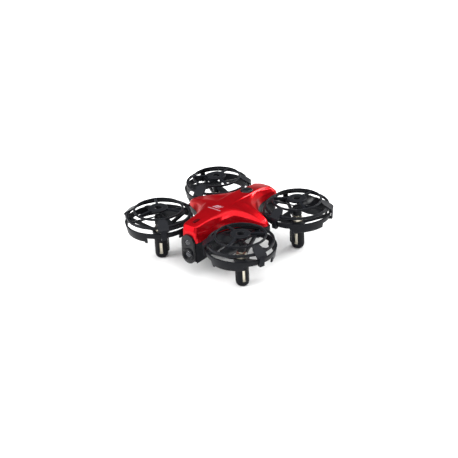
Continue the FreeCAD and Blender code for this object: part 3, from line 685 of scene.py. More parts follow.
class StudioSettings(bpy.types.PropertyGroup):
    """Where the camera stands and how bright the lights are."""

    azimuth: angle("Azimuth", 39.715, "Camera's turn round the drone")
    elevation: angle("Elevation", 26.998, "Camera's height above the horizon")
    roll: angle("Roll", -2.994, "Camera's tilt")
    distance: FloatProperty(name="Distance", default=0.892147, unit="LENGTH", description="Camera distance")
    focal: FloatProperty(name="Focal length", default=85.64, description="Lens, in millimetres")
    overhead: FloatProperty(name="Overhead", default=70.0, description="Power of the overhead softbox")
    key: FloatProperty(name="Key", default=14.0, description="Power of the softbox high on the right")
    front: FloatProperty(name="Front", default=26.0, description="Power of the low softbox by the nose")
    rear: FloatProperty(name="Rear", default=26.0, description="Power of the narrow softbox behind")
    world: FloatProperty(name="Fill", default=0.03, description="Strength of the room's even light")


def settings(context, name):
    """The values of one settings group, with lengths in millimetres."""
    group = getattr(context.scene, "palm_drone_" + name)
    values = {}
    for key in group.__annotations__:
        value = getattr(group, key)
        values[key] = value / MM if group.bl_rna.properties[key].unit == "LENGTH" else value
    return SimpleNamespace(**values)


# ---- the top shell ------------------------------------------------------------------------------
# Beside each duct, at angles round it from the nose or tail side to the lobe: inset and height of the
# bevel's upper edge, inset and height of its lower edge, height of the shell's bottom edge.
FRONT_SIDE = [
    (180.0, 2.5, 43.8, 0.8, 38.5, 31.2),
    (165.0, 2.6, 44.0, 0.7, 39.3, 31.9),
    (150.0, 3.0, 44.4, 1.2, 42.2, 32.7),
    (136.0, 7.2, 45.3, 2.8, 42.9, 33.4),
    (120.0, 5.7, 44.3, 2.0, 41.0, 34.0),
    (106.0, 2.8, 40.6, 1.3, 38.4, 34.4),
]
REAR_SIDE = [
    (106.0, 2.8, 40.4, 1.3, 38.2, 34.4),
    (120.0, 5.4, 43.4, 2.0, 40.4, 34.4),
    (136.0, 6.2, 44.2, 2.4, 41.0, 34.4),
    (150.0, 4.6, 43.4, 1.8, 40.4, 34.4),
    (165.0, 3.6, 42.6, 1.4, 39.6, 34.4),
    (180.0, 3.4, 42.2, 1.2, 39.0, 34.4),
]
# Height of the deck's centre line from nose to tail.
RIDGE_LINE = [(-50.0, 43.9), (-39.0, 44.7), (-12.0, 46.2), (8.0, 46.3), (25.0, 45.6), (40.0, 43.8),
              (54.0, 39.8)]
BUTTON_Y = 25.0
WINDOW_Y = -39.5
# The radius of the button's hole, and the width and length of the light window and of its hole.
BUTTON_HOLE = 5.4
WINDOW_HOLE = (3.3, 7.7)
WINDOW_SIZE = (2.9, 7.3)


def between(table, value):
    """A height from rows of (place, height), straight between them."""
    for (a, height_a), (b, height_b) in zip(table, table[1:]):
        if value <= b:
            return height_a + (height_b - height_a) * (max(value, a) - a) / (b - a)
    return table[-1][1]


def side_stations(sizes):
    """Right-hand stations from nose to tail, each with its base, lower-edge and upper-edge point."""
    def beside_duct(row, end):
        a = math.radians(row[0])

        def at(inset, z):
            r = sizes.arc + inset
            return Vector((MOTOR_X + r * math.cos(a), end * (MOTOR_Y - r * math.sin(a)), z))
        return at(0.0, row[5]), at(row[3], row[4]), at(row[1], row[2])

    nose, tail, lobe = -sizes.nose_y, sizes.tail_y, sizes.lobe_x
    rows = [
        (Vector((5.6, nose, 30.4)), Vector((5.4, nose + 0.3, 39.6)), Vector((5.2, nose + 1.9, 43.6))),
        (Vector((7.4, nose + 1.6, 30.4)), Vector((7.2, nose + 1.8, 38.6)), Vector((6.7, nose + 3.0, 43.6))),
    ]
    rows += [beside_duct(row, -1) for row in FRONT_SIDE]
    for y_sign in (-1, 1):
        rows.append((Vector((lobe, y_sign * 2.8, 34.2)), Vector((lobe - 0.6, y_sign * 2.4, 36.4)),
                     Vector((lobe - 1.8, y_sign * 1.7, 37.7))))
    rows += [beside_duct(row, 1) for row in REAR_SIDE]
    rows.append((Vector((13.0, 47.8, 34.4)), Vector((12.1, 47.6, 38.4)), Vector((9.6, 46.8, 41.3))))
    rows.append((Vector((11.6, tail - 0.9, 34.4)), Vector((10.7, tail - 1.6, 37.5)),
                 Vector((8.3, 50.2, 40.1))))
    rows.append((Vector((7.6, tail, 34.4)), Vector((7.2, tail - 0.6, 37.3)), Vector((6.0, 51.4, 39.5))))
    return rows


def deck_columns(sizes, upper):
    """Points across the deck from the bevel's upper edge to the centre line."""
    half = min(sizes.ridge, 0.75 * upper.x)
    rear = min(max((upper.y + 8.0) / 20.0, 0.0), 1.0)
    ridge_z = between(RIDGE_LINE, upper.y) - 0.15
    shoulder_x = half + min(1.1, 0.4 * (upper.x - half))
    shoulder = Vector((shoulder_x, upper.y, ridge_z - rear * sizes.ridge_step - 0.05))
    middle = (upper + shoulder) * 0.5
    if upper.x > 20.0:
        middle.z = 46.0 - 0.0014 * (middle.x - half) ** 2.5
    else:
        middle.z += 0.25
    return [middle, shoulder, Vector((half, upper.y, ridge_z)), Vector((0.0, upper.y, ridge_z + 0.15))]


def shell_cage(sizes):
    """The right half of the top shell's control mesh, mirrored, with creases on its bevels."""
    bm = bmesh.new()
    crease = bm.edges.layers.float.new("crease_edge")
    for side in (1, -1):
        def vert(point):
            return bm.verts.new((side * point.x, point.y, point.z))

        def patch(a, b, c, d):
            return bm.faces.new((a, b, c, d) if side > 0 else (d, c, b, a))

        def mark(a, b, sharpness):
            edge = bm.edges.get((a, b))
            edge[crease] = max(edge[crease], sharpness)

        rows = side_stations(sizes)
        walls = [[vert(p) for p in row] for row in rows]
        decks = [[vert(p) for p in deck_columns(sizes, row[2])] for row in rows]
        for i in range(len(rows) - 1):
            here, there = walls[i] + decks[i], walls[i + 1] + decks[i + 1]
            for k in range(len(here) - 1):
                patch(here[k], there[k], there[k + 1], here[k + 1])
            mark(here[1], there[1], sizes.crease)
            mark(here[2], there[2], sizes.crease)
            if rows[i][2].y > -12.0:
                mark(here[5], there[5], 0.55)
                mark(here[4], there[4], 0.4)
        for i, end in ((0, -1), (len(rows) - 1, 1)):
            previous_wall, previous_deck = walls[i], walls[i][2]
            row = rows[i]
            for k, top in enumerate(decks[i]):
                bulge = end * 0.25 * (k + 1) / len(decks[i])
                x = abs(top.co.x)
                low = vert(Vector((x, row[0].y + bulge, row[0].z)))
                mid = vert(Vector((x, row[1].y + bulge, row[1].z)))
                if end < 0:
                    patch(low, previous_wall[0], previous_wall[1], mid)
                    patch(mid, previous_wall[1], previous_deck, top)
                else:
                    patch(previous_wall[0], low, mid, previous_wall[1])
                    patch(previous_wall[1], mid, top, previous_deck)
                mark(previous_deck, top, sizes.crease)
                mark(previous_wall[1], mid, 0.5)
                previous_wall, previous_deck = [low, mid], top
        for i in (0, 1, len(rows) - 2, len(rows) - 1):
            mark(walls[i][0], walls[i][1], 0.25)
            mark(walls[i][1], walls[i][2], 0.45)
        waist = 2 + 3
        mark(walls[waist][1], walls[waist][2], 0.85)
    return bm


def upright_slot(width, height, x, y, z0, z1):
    """A round-ended bar, long from nose to tail, standing between two heights."""
    r = width / 2.0
    reach = height / 2.0 - r
    loop = [Vector((x, y + reach, z0)) + circle_point(r, 180.0 / 12 * k) for k in range(13)]
    loop += [Vector((x, y - reach, z0)) + circle_point(r, 180.0 + 180.0 / 12 * k) for k in range(13)]
    return loop, Vector((0, 0, z1 - z0))


def nose_plate_outline(half_top, half_bottom, z_top, z_bottom, y):
    """A tall pill across the nose, its lower end wider than its upper one."""
    loop = [Vector((half_bottom * math.cos(a), y, z_bottom + half_bottom + half_bottom * math.sin(a)))
            for a in [math.pi + math.pi * k / 24 for k in range(25)]]
    loop += [Vector((half_top * math.cos(a), y, z_top - half_top + half_top * math.sin(a)))
             for a in [math.pi * k / 24 for k in range(25)]]
    return loop


def nose_disc(outline, y, z):
    """A lathe body of (radius, depth) whose axis runs along the nose; depth 0 lies at y, growing rearward."""
    bm = lathe(outline, 64)
    bm.transform(Matrix.Translation((0, y, z)) @ Matrix.Rotation(math.radians(-90.0), 4, "X"))
    return bm


def shell_openings(sizes):
    """The bodies that open the shell for the button and the light window, and behind the nose plate."""
    button = lathe([(0, 38.0), (BUTTON_HOLE, 38.0), (BUTTON_HOLE, 50.0), (0, 50.0)])
    button.transform(Matrix.Translation((0, BUTTON_Y, 0)))
    window = extrusion(*upright_slot(*WINDOW_HOLE, 0.0, WINDOW_Y, 40.0, 50.0), 0.0)
    plate = nose_plate_outline(6.4, 6.8, 37.3, 8.0, -sizes.nose_y - 4.0)
    return button, window, extrusion(plate, Vector((0, 8.0, 0)), 0.0)


def build_top_shell(context):
    """A creased cage smoothed into the faceted skin, given its wall and its openings."""
    sizes = settings(context, "shell")
    shell = new_object("shell_top", shell_cage(sizes), bpy.data.materials["red_shell"])
    smooth = shell.modifiers.new("smooth", "SUBSURF")
    smooth.levels = smooth.render_levels = sizes.smoothness
    wall = shell.modifiers.new("wall", "SOLIDIFY")
    wall.thickness = sizes.wall * MM
    wall.offset = -1.0
    settled(shell)
    button, window, plate = shell_openings(sizes)
    cut(shell, button, window)
    cut(shell, plate, folded=True)
    soften(shell, 0.16, 2, 50.0)
    return placed(shell, AIRFRAME, "red_shell", "top_shell")


# ---- one corner ---------------------------------------------------------------------------------
def arm_angle(end):
    """Angle from a right-hand motor towards the middle of the aircraft."""
    return math.degrees(math.atan2(-end * MOTOR_Y, -MOTOR_X))


def spoke_angle(guard, end):
    return math.degrees(guard.front_angle if end < 0 else guard.rear_angle)


# How far the ring's wall leans inward for each millimetre down. Then, in degrees, half the turn of a skirt
# and the whole turn of a tooth.
RING_TAPER = 0.19
SKIRT_HALF = 30.0
TOOTH_TURN = 4.3
# The turns, in degrees, at which the front and rear pods are open on a right-hand motor.
POD_WINDOWS = {-1: (-31.0, -128.0), 1: (-72.0, 25.0)}


def skirted_ring(sizes, first):
    """The duct's ring, whose lower edge drops into three deep skirts that each end in a tooth."""
    half, tooth = SKIRT_HALF, TOOTH_TURN
    turns = [(-half - 0.1, sizes.thin_bottom), (-half, sizes.tooth_bottom)]
    turns += [(tooth - half, sizes.tooth_bottom), (tooth - half + 0.1, sizes.skirt_bottom)]
    turns += [(a, sizes.skirt_bottom) for a in range(-22, 30, 4)]
    turns += [(half, sizes.skirt_bottom), (half + 0.1, sizes.thin_bottom)]
    turns += [(a, sizes.thin_bottom) for a in range(34, 90, 4)]
    bm = bmesh.new()
    rows = []
    for third in range(3):
        for turn, bottom in turns:
            low_r = sizes.radius - RING_TAPER * (sizes.top - bottom)
            outline = eased([(sizes.radius, sizes.top), (low_r, bottom), (low_r - sizes.wall, bottom),
                             (sizes.radius - sizes.wall, sizes.top)], 0.4)
            at = first + turn + 120.0 * third
            rows.append([bm.verts.new(circle_point(r, at, z)) for r, z in outline])
    for k, row in enumerate(rows):
        following = rows[(k + 1) % len(rows)]
        for i in range(len(row)):
            j = (i + 1) % len(row)
            bm.faces.new((row[i], following[i], following[j], row[j]))
    return bm


def duct_strut(sizes, turn):
    """A thin bar that rises from the pod's collar to the ring."""
    reach = sizes.radius - 1.2
    return bar([(4.8, 22.0), (reach, 29.9), (reach, 32.6), (7.5, 25.4), (4.8, 24.4)], 2.2, turn, 0.45)


def motor_pod(sizes, arm):
    """The cup that holds the motor, with its foot, its collar and the rib that carries the lead."""
    r = sizes.pod_radius
    cup = [(0, 0), (3.5, 0), (4.6, 0.9), (5.2, 2.2), (r, 3.8), (r, 20.6), (6.4, 21.8), (6.4, sizes.pod_top),
           (sizes.bore, sizes.pod_top), (sizes.bore, 3.6), (0, 3.6)]
    rib = bar([(4.6, 2.6), (6.6, 2.6), (7.5, 4.2), (7.5, 24.2), (4.6, 24.2)], 3.4, arm, 0.4)
    return joined([lathe(eased(cup, 0.45), 72), rib])


def pod_window(turn):
    """The upright opening through which the motor's can shows."""
    return bar(eased([(3.0, 3.9), (9.0, 3.9), (9.0, 14.4), (3.0, 14.4)], 0.2), 3.0, turn, 0.7)


def duct_arm(sizes, arm):
    """The beam from the pod to the body, ending in the flat tongue that the shells clamp."""
    r = sizes.radius
    beam = [(4.8, 23.0), (7.5, 23.0), (r - 1.0, 28.4), (r, 28.4), (r, 32.2), (26.0, 32.2), (9.5, 28.2),
            (4.8, 28.2)]
    tongue = [(r - 1.0, 28.5), (38.5, 28.5), (38.5, 32.1), (r - 1.0, 32.1)]
    return joined([bar(beam, 4.4, arm, 0.45), bar(tongue, 7.5, arm, 0.4)])


def build_ducts(context):
    sizes, guard = settings(context, "duct"), settings(context, "guard")
    black = bpy.data.materials["duct_black"]
    for name, side, end in CORNERS:
        first = spoke_angle(guard, end)
        struts = new_object("struts", duct_strut(sizes, 60.0 + first), black)
        apply_recipe(struts, "Round Array", {"Count": 3, "Start": 0.0, "Step": math.radians(120.0)})
        pod = new_object("pod", motor_pod(sizes, arm_angle(end)), black)
        cut(pod, *[pod_window(turn) for turn in POD_WINDOWS[end]])
        whole = joined([skirted_ring(sizes, first), duct_arm(sizes, arm_angle(end))])
        whole.transform(Matrix.Scale(MM, 4))
        for part in (struts, pod):
            whole.from_mesh(part.data)
            bpy.data.objects.remove(part)
        whole.transform(Matrix.Scale(1.0 / MM, 4))
        whole.transform(corner_matrix(side, end))
        duct = new_object("duct_ring_" + name, whole, black)
        placed(duct, AIRFRAME, "duct_black", "duct_" + name)


def guard_spoke(sizes, turn):
    """A flat spoke from the hub disc out and slightly down to the inner ring."""
    reach = sizes.inner_radius - 0.8
    outline = [(sizes.hub_radius - 0.7, sizes.top - 1.5), (reach, sizes.top - 2.5), (reach, sizes.top - 0.9),
               (sizes.hub_radius - 0.7, sizes.top - 0.1)]
    return bar(outline, 1.9, turn, 0.4)


def lofted(sections, turn, ease):
    """A closed body through upright cross-sections given as (radius, half width, low, high)."""
    bm = bmesh.new()
    rows = []
    for r, half, low, high in sections:
        rows.append([bm.verts.new(p) for p in ((r, -half, low), (r, half, low), (r, half, high),
                                               (r, -half, high))])
    for row, following in zip(rows, rows[1:]):
        for i in range(4):
            j = (i + 1) % 4
            bm.faces.new((row[i], row[j], following[j], following[i]))
    bm.faces.new(rows[0][::-1])
    bm.faces.new(rows[-1])
    sharp = [e for e in bm.edges if e.calc_face_angle(0.0) > math.radians(35.0)]
    bmesh.ops.bevel(bm, geom=sharp, offset=ease, segments=3, profile=0.5, affect="EDGES", clamp_overlap=True)
    bm.transform(Matrix.Rotation(math.radians(turn), 4, "Z"))
    return bm


def guard_clip(sizes, duct, turn):
    """A plate that widens as it slopes over the rim, with a latch that hooks under the duct's ring."""
    half, edge = sizes.clip_width / 2.0, sizes.clip_radius - 0.3
    top = sizes.top
    plate = lofted([(sizes.inner_radius - 1.2, 2.0, top - 2.6, top - 0.8), (23.0, half * 0.97, 40.2, 41.5),
                    (26.4, half, 38.2, 39.7), (27.6, half, 37.2, 38.8), (28.6, half, 36.5, 38.1),
                    (edge, half, 35.8, 37.4)], turn, 0.45)
    hook_top = duct.thin_bottom - 0.3
    inside = duct.radius + 0.2
    r = sizes.clip_radius
    leg = [(27.6, 36.6), (r - 0.6, 37.4), (r, 36.4), (r - 0.5, 28.3), (26.2, 28.3), (26.2, hook_top),
           (27.5, hook_top), (inside, 33.0), (inside, 35.4)]
    return joined([plate, bar(leg, sizes.latch_width, turn, 0.3)])


def build_guards(context):
    sizes, duct = settings(context, "guard"), settings(context, "duct")
    black = bpy.data.materials["guard_black"]
    for name, side, end in CORNERS:
        first = spoke_angle(sizes, end)
        petal = joined([guard_spoke(sizes, first), guard_clip(sizes, duct, first + 60.0)])
        guard = new_object("guard_cage_" + name, petal, black)
        apply_recipe(guard, "Round Array", {"Count": 3, "Start": 0.0, "Step": math.radians(120.0)})
        hoops = [(sizes.hub_radius, sizes.hub_radius - sizes.hole_radius, 1.6, sizes.top, 0.4),
                 (sizes.inner_radius, sizes.inner_band, 1.8, sizes.top - 0.8, 0.5),
                 (sizes.rim_radius, sizes.rim_band, 2.3, sizes.rim_top, 0.6)]
        for radius, band, depth, top, ease in hoops:
            apply_recipe(guard, "Hoop", {"Radius": radius * MM, "Band": band * MM, "Depth": depth * MM,
                                         "Top": top * MM, "Ease": ease * MM})
        guard.data.transform(Matrix.Scale(MM, 4) @ corner_matrix(side, end) @ Matrix.Scale(1.0 / MM, 4))
        if side < 0:
            guard.data.flip_normals()
        placed(guard, AIRFRAME, "guard_black", "guard_" + name)


# Which way each propeller turns and the angle at which it stands, in degrees.
PROPELLER_REST = {"front_left": (1, 26.0), "front_right": (-1, 2.0), "rear_left": (-1, 32.0),
                  "rear_right": (1, 4.0)}


def build_propellers(context):
    sizes = settings(context, "propeller")
    for name, side, end in CORNERS:
        hand, rest = PROPELLER_REST[name]
        r, top, low = sizes.hub_radius, sizes.hub_top, sizes.hub_bottom
        hub = eased([(0.5, low + 3.5), (1.4, low + 3.5), (1.4, low + 0.3), (1.7, low + 3.5), (3.1, low + 3.5),
                     (3.1, low), (r, low), (r, top - 1.4), (3.3, top - 0.5), (2.0, top), (0.9, top),
                     (0.9, top - 0.6), (0.5, top - 0.6)], 0.18)
        propeller = new_object("rotor_blades_" + name, lathe(hub, 48), bpy.data.materials["propeller_black"])
        apply_recipe(propeller, "Paddle Blades", {
            "Count": sizes.blades, "Rest Angle": math.radians(rest), "Hand": float(hand * side),
            "Root Radius": 2.8 * MM, "Tip Radius": sizes.tip_radius * MM, "Chord": sizes.chord * MM,
            "Thickness": sizes.thickness * MM, "Height": sizes.height * MM,
            "Root Pitch": sizes.root_pitch, "Tip Pitch": sizes.tip_pitch})
        propeller.data.transform(Matrix.Scale(MM, 4) @ corner_matrix(side, end) @ Matrix.Scale(1.0 / MM, 4))
        if side < 0:
            propeller.data.flip_normals()
        placed(propeller, "rotor_" + name, "propeller_black", "propeller_" + name)


def build_motors(context):
    """Each can with its rolled shoulder, its bush and the seam where its cap is pressed in."""
    low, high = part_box("motor_front_left")
    bottom, top = low.z / MM, high.z / MM
    r = (high.x - low.x) / MM / 2.0
    can = [(0.55, bottom), (r - 0.25, bottom), (r, bottom + 0.5), (r, bottom + 1.6), (r - 0.12, bottom + 1.8),
           (r, bottom + 2.0), (r, top - 1.3), (r - 0.4, top - 0.8), (2.5, top - 0.8), (2.2, top - 1.0),
           (1.6, top - 1.0), (1.5, top), (0.55, top)]
    for name, side, end in CORNERS:
        body = lathe(eased(can, 0.15), 72)
        body.transform(corner_matrix(side, end))
        motor = new_object("motor_can_" + name, body, bpy.data.materials["motor_can"])
        placed(motor, AIRFRAME, "motor_can", "motor_" + name)


# ---- the nose, the deck and the underside -------------------------------------------------------
def build_camera(context):
    """The black nose plate, the camera's ring and lens, and the small sensor above it."""
    gloss, glass = bpy.data.materials["gloss_black"], bpy.data.materials["lens_glass"]
    low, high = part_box("camera_bezel")
    lens_low, lens_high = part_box("camera_lens")
    sensor_low, sensor_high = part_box("sensor_lens")
    front, back = low.y / MM, high.y / MM
    lens_z = (lens_low.z + lens_high.z) / MM / 2.0
    sensor_z = (sensor_low.z + sensor_high.z) / MM / 2.0
    outline = nose_plate_outline(6.2, 6.6, high.z / MM, low.z / MM, front)
    plate = new_object("nose_plate", extrusion(outline, Vector((0, back - front, 0)), 0.5, 3), gloss)
    hole = [(0, -2), (5.4, -2), (5.4, 6), (0, 6)]
    small = [(0, -2), (2.5, -2), (2.5, 6), (0, 6)]
    cut(plate, nose_disc(hole, front, lens_z), nose_disc(small, front, sensor_z))
    soften(plate, 0.12, 2, 50.0)
    placed(plate, AIRFRAME, "gloss_black", "camera_bezel")

    ring_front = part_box("camera_lens_ring")[0].y / MM
    ring = [(5.3, 0.6), (5.3, 3.9), (2.9, 3.9), (2.9, 1.9), (3.3, 1.9), (3.3, 1.5), (3.7, 1.5), (3.7, 1.1),
            (4.2, 1.1), (4.2, 0.2), (4.5, 0.0), (4.9, 0.0)]
    rim = new_object("camera_ring", nose_disc(eased(ring, 0.12), ring_front, lens_z), gloss)
    placed(rim, AIRFRAME, "gloss_black", "camera_lens_ring")

    for name, node, radius, rise, y0, y1, z in (
            ("camera_glass", "camera_lens", 2.82, 0.9, lens_low.y, lens_high.y, lens_z),
            ("sensor_glass", "sensor_lens", 2.42, 0.7, sensor_low.y, sensor_high.y, sensor_z)):
        depth = (y1 - y0) / MM
        dome = [(radius * math.sin(t * math.pi / 20.0), rise * (1.0 - math.cos(t * math.pi / 20.0)))
                for t in range(11)]
        lens = new_object(name, nose_disc(dome + [(radius, depth), (0, depth)], y0 / MM, z), glass)
        placed(lens, AIRFRAME, "lens_glass", node)


def build_button(context):
    """The dished power button with a fine ring cut round its face."""
    low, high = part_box("power_button")
    top, bottom = high.z / MM, low.z / MM
    cap = [(0, bottom), (1.4, bottom), (1.4, 41.8), (5.75, 41.8), (5.75, 42.6), (5.15, 42.6),
           (5.15, top - 0.5), (4.7, top), (3.7, top), (3.55, top - 0.22), (3.3, top - 0.22),
           (3.15, top - 0.08), (1.6, top - 0.3),
           (0, top - 0.35)]
    body = lathe(eased(cap, 0.14), 72)
    body.transform(Matrix.Translation((0, BUTTON_Y, 0)))
    button = new_object("button_cap", body, bpy.data.materials["button_black"])
    placed(button, "power_button", "button_black", "power_button")


def build_window(context):
    """The smoky window in the deck over the status light."""
    low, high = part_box("led_window")
    loop, offset = upright_slot(*WINDOW_SIZE, 0.0, WINDOW_Y, low.z / MM, high.z / MM)
    window = new_object("light_window", extrusion(loop, offset, 0.3, 3), bpy.data.materials["smoky_window"])
    placed(window, AIRFRAME, "smoky_window", "led_window")


def eased_copy(node, name, body, slot, width):
    """A CAD solid with its flat faces restored and its edges rounded."""
    bm = bmesh.new()
    bm.from_mesh(frame["nodes"][node].data)
    bmesh.ops.remove_doubles(bm, verts=bm.verts, dist=2e-6)
    bmesh.ops.dissolve_limit(bm, angle_limit=math.radians(0.6), verts=bm.verts, edges=bm.edges)
    bm.transform(Matrix.Scale(1.0 / MM, 4))
    piece = new_object(name, bm, bpy.data.materials[slot])
    soften(piece, width, 2, 35.0)
    return placed(piece, body, slot, node)


def build_lower_shell(context):
    eased_copy("lower_shell", "shell_lower", AIRFRAME, "body_black", 0.22)


def build_battery(context):
    eased_copy("battery_case", "battery_tray", "battery", "body_black", 0.16)


def cross_head_screw(head_z, tip_z):
    """One pan-head screw seen from below, with a cross recess and a thread."""
    thread = [(0, tip_z)]
    turns = int((tip_z - head_z - 1.4) / 0.35)
    for k in range(turns):
        z = tip_z - 0.3 - 0.35 * k
        thread += [(0.58, z), (0.42, z - 0.17)]
    thread += [(0.5, head_z + 0.9), (1.35, head_z + 0.9), (1.5, head_z + 0.6), (1.4, head_z + 0.15),
               (1.1, head_z), (0, head_z)]
    return lathe(thread, 28)


def build_screws(context):
    steel = bpy.data.materials["steel"]
    for node, name, places in (("body_screws", "shell_screws", [(-30.5, 0.0), (30.5, 0.0)]),
                               ("duct_screws", "arm_screws", arm_screw_places())):
        low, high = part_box(node)
        one = new_object("one_screw", cross_head_screw(low.z / MM, high.z / MM), steel)
        arms = [extrusion([Vector((x, y, low.z / MM - 1.0)) for x, y in loop], Vector((0, 0, 1.5)), 0.0)
                for loop in (((-0.9, -0.2), (0.9, -0.2), (0.9, 0.2), (-0.9, 0.2)),
                             ((-0.2, -0.9), (0.2, -0.9), (0.2, 0.9), (-0.2, 0.9)))]
        cut(one, *arms)
        points = bmesh.new()
        for x, y in places:
            points.verts.new((x, y, 0.0))
        screws = new_object(name, points, steel)
        apply_recipe(screws, "Part At Points", {"Part": one})
        bpy.data.objects.remove(one)
        placed(screws, AIRFRAME, "steel", node)


# Where a screw goes up into a duct's tongue: its distance from the motor, and from the arm's middle line.
SCREW_REACH = 35.8
SCREW_ASIDE = 2.35


def arm_screw_places():
    """The four places at which a screw clamps a duct's tongue, beside the lead."""
    places = []
    for _, side, end in CORNERS:
        a = math.radians(arm_angle(end))
        x = SCREW_REACH * math.cos(a) + SCREW_ASIDE * math.sin(a)
        y = SCREW_REACH * math.sin(a) - SCREW_ASIDE * math.cos(a)
        places.append((side * (MOTOR_X + x), end * MOTOR_Y + y))
    return places


def finish_cad_nodes(context):
    """Gives every CAD piece its own finish, through its object's material slots."""
    for part in frame["record"]["subparts"]:
        for held in frame["nodes"][part["node"]].material_slots:
            held.material = bpy.data.materials[part["material_slot"]]


# ---- finishes, stage and camera -----------------------------------------------------------------
def build_finishes(context):
    colours = settings(context, "colours")
    black, rough = colours.plastic, colours.duct_roughness
    candy_red(colours.shell)
    moulded("body_black", black, rough + 0.03, 0.03)
    moulded("gloss_black", shade_of(black, 0.8), 0.28, 0.002, 0.3)
    moulded("module_black", shade_of(black, 0.9), 0.5, 0.02)
    moulded("button_black", shade_of(black, 0.9), 0.3, 0.01, 0.3)
    moulded("duct_black", black, rough, 0.025)
    moulded("guard_black", shade_of(black, 1.1), rough - 0.04, 0.02)
    moulded("propeller_black", shade_of(black, 0.85), 0.34, 0.01)
    moulded("wire_sleeve", (0.02, 0.02, 0.02), 0.55, 0.02)
    moulded("led_body", (0.80, 0.80, 0.74), 0.3, 0.01, 0.3)
    moulded("end_cap", (0.66, 0.63, 0.52), 0.45, 0.015)
    moulded("flex_film", (0.50, 0.20, 0.03), 0.3, 0.01, 0.5)
    metal("motor_can", colours.motor, 0.26, (1.0, 1.0, 0.06))
    metal("steel", (0.58, 0.57, 0.54), 0.25)
    metal("copper_winding", (0.70, 0.62, 0.46), 0.34, (1.0, 1.0, 8.0))
    clear_part("lens_glass", (0.005, 0.006, 0.012, 1.0), 0.88)
    clear_part("smoky_window", (0.13, 0.004, 0.007, 1.0), 0.86)
    circuit_board(colours.board)
    wrinkled_foil((0.62, 0.63, 0.66))
    floor_paper(colours.paper)


def add_softbox(name, place, target, size, power):
    light = bpy.data.lights.new(name, "AREA")
    light.shape = "RECTANGLE"
    light.size, light.size_y = size
    light.energy = power
    lamp = bpy.data.objects.new(name, light)
    lamp.location = place
    lamp.rotation_euler = (Vector(target) - Vector(place)).to_track_quat("-Z", "Y").to_euler()
    bpy.context.scene.collection.objects.link(lamp)
    return lamp


# The height of the point that the camera turns round, and how far the view is moved down, in millimetres.
AIM_HEIGHT = 22.0
VIEW_DROP = 1.439


def build_camera_view(studio):
    """The camera, turned round a point above the ground in the drone's middle."""
    a, e, roll = studio.azimuth, studio.elevation, studio.roll
    right = Vector((math.cos(a), math.sin(a), 0))
    back = Vector((math.sin(a) * math.cos(e), -math.cos(a) * math.cos(e), math.sin(e)))
    up = back.cross(right)
    rolled_right = math.cos(roll) * right + math.sin(roll) * up
    rolled_up = -math.sin(roll) * right + math.cos(roll) * up
    data = bpy.data.cameras.new("camera")
    data.lens = studio.focal
    data.sensor_width = 36.0
    camera = bpy.data.objects.new("camera", data)
    turn = Matrix((rolled_right, rolled_up, back)).transposed().to_4x4()
    spot = MM * (Vector((0, 0, AIM_HEIGHT)) + studio.distance * back - VIEW_DROP * rolled_up)
    camera.matrix_world = Matrix.Translation(spot) @ turn
    bpy.context.scene.collection.objects.link(camera)
    bpy.context.scene.camera = camera


# Half the floor's width, and how far it lies under the feet, in millimetres.
FLOOR_HALF = 3000.0
FLOOR_GAP = 0.02


def studio_room(fill):
    """Pale walls that fade to a dim ceiling, so that the deck mirrors a dark room."""
    world = bpy.data.worlds.new("room")
    world.use_nodes = True
    world.node_tree.nodes.clear()
    room = Tree(world.node_tree)
    way = room.add("ShaderNodeTexCoord")
    height = room.add("ShaderNodeSeparateXYZ", {}, {0: way}, 2)
    light = room.add("ShaderNodeMapRange", {"clamp": True}, {0: height, 1: 0.06, 2: 0.26, 3: 0.95, 4: fill})
    walls = room.add("ShaderNodeBackground", {}, {0: (1.0, 1.0, 1.0, 1.0), 1: light})
    room.add("ShaderNodeOutputWorld", {}, {0: walls})
    return world


def build_stage(context):
    studio = settings(context, "studio")
    scene = context.scene
    scene.view_settings.view_transform = "Standard"
    floor_mesh = bmesh.new()
    floor_mesh.faces.new([floor_mesh.verts.new((FLOOR_HALF * x, FLOOR_HALF * y, -FLOOR_GAP)) for x, y in
                          ((-1, -1), (1, -1), (1, 1), (-1, 1))])
    floor = new_object("floor", floor_mesh, bpy.data.materials["paper"])
    scene.world = studio_room(studio.world)
    add_softbox("overhead", (0.35, -0.5, 1.5), (0.35, -0.5, 0), (3.2, 3.2), studio.overhead)
    add_softbox("key", (1.2, -0.3, 1.7), (0, 0, 0.03), (1.3, 1.3), studio.key)
    add_softbox("rear", (0.35, 1.3, 0.95), (0, 0, 0.03), (0.7, 0.7), studio.rear)
    add_softbox("front", (-0.9, -1.1, 0.8), (0, 0, 0.03), (0.8, 0.8), studio.front)
    build_camera_view(studio)


# ---- operators, panel and registration ----------------------------------------------------------
class DroneOperator:
    """Runs one builder."""

    bl_options = {"REGISTER", "UNDO"}

    def execute(self, context):
        type(self).builder(context)
        return {"FINISHED"}


class PALMDRONE_OT_finishes(DroneOperator, bpy.types.Operator):
    """Make the paints, plastics, metals and glass"""

    bl_idname = "palm_drone.finishes"
    bl_label = "Mix the Finishes"
    builder = staticmethod(build_finishes)


class PALMDRONE_OT_cad_finishes(DroneOperator, bpy.types.Operator):
    """Give every carried-over part its finish"""

    bl_idname = "palm_drone.cad_finishes"
    bl_label = "Finish the Inner Parts"
    builder = staticmethod(finish_cad_nodes)


class PALMDRONE_OT_top_shell(DroneOperator, bpy.types.Operator):
    """Build the faceted red shell with its openings"""

    bl_idname = "palm_drone.top_shell"
    bl_label = "Top Shell"
    builder = staticmethod(build_top_shell)


class PALMDRONE_OT_lower_shell(DroneOperator, bpy.types.Operator):
    """Build the black lower shell and battery bay"""

    bl_idname = "palm_drone.lower_shell"
    bl_label = "Lower Shell"
    builder = staticmethod(build_lower_shell)


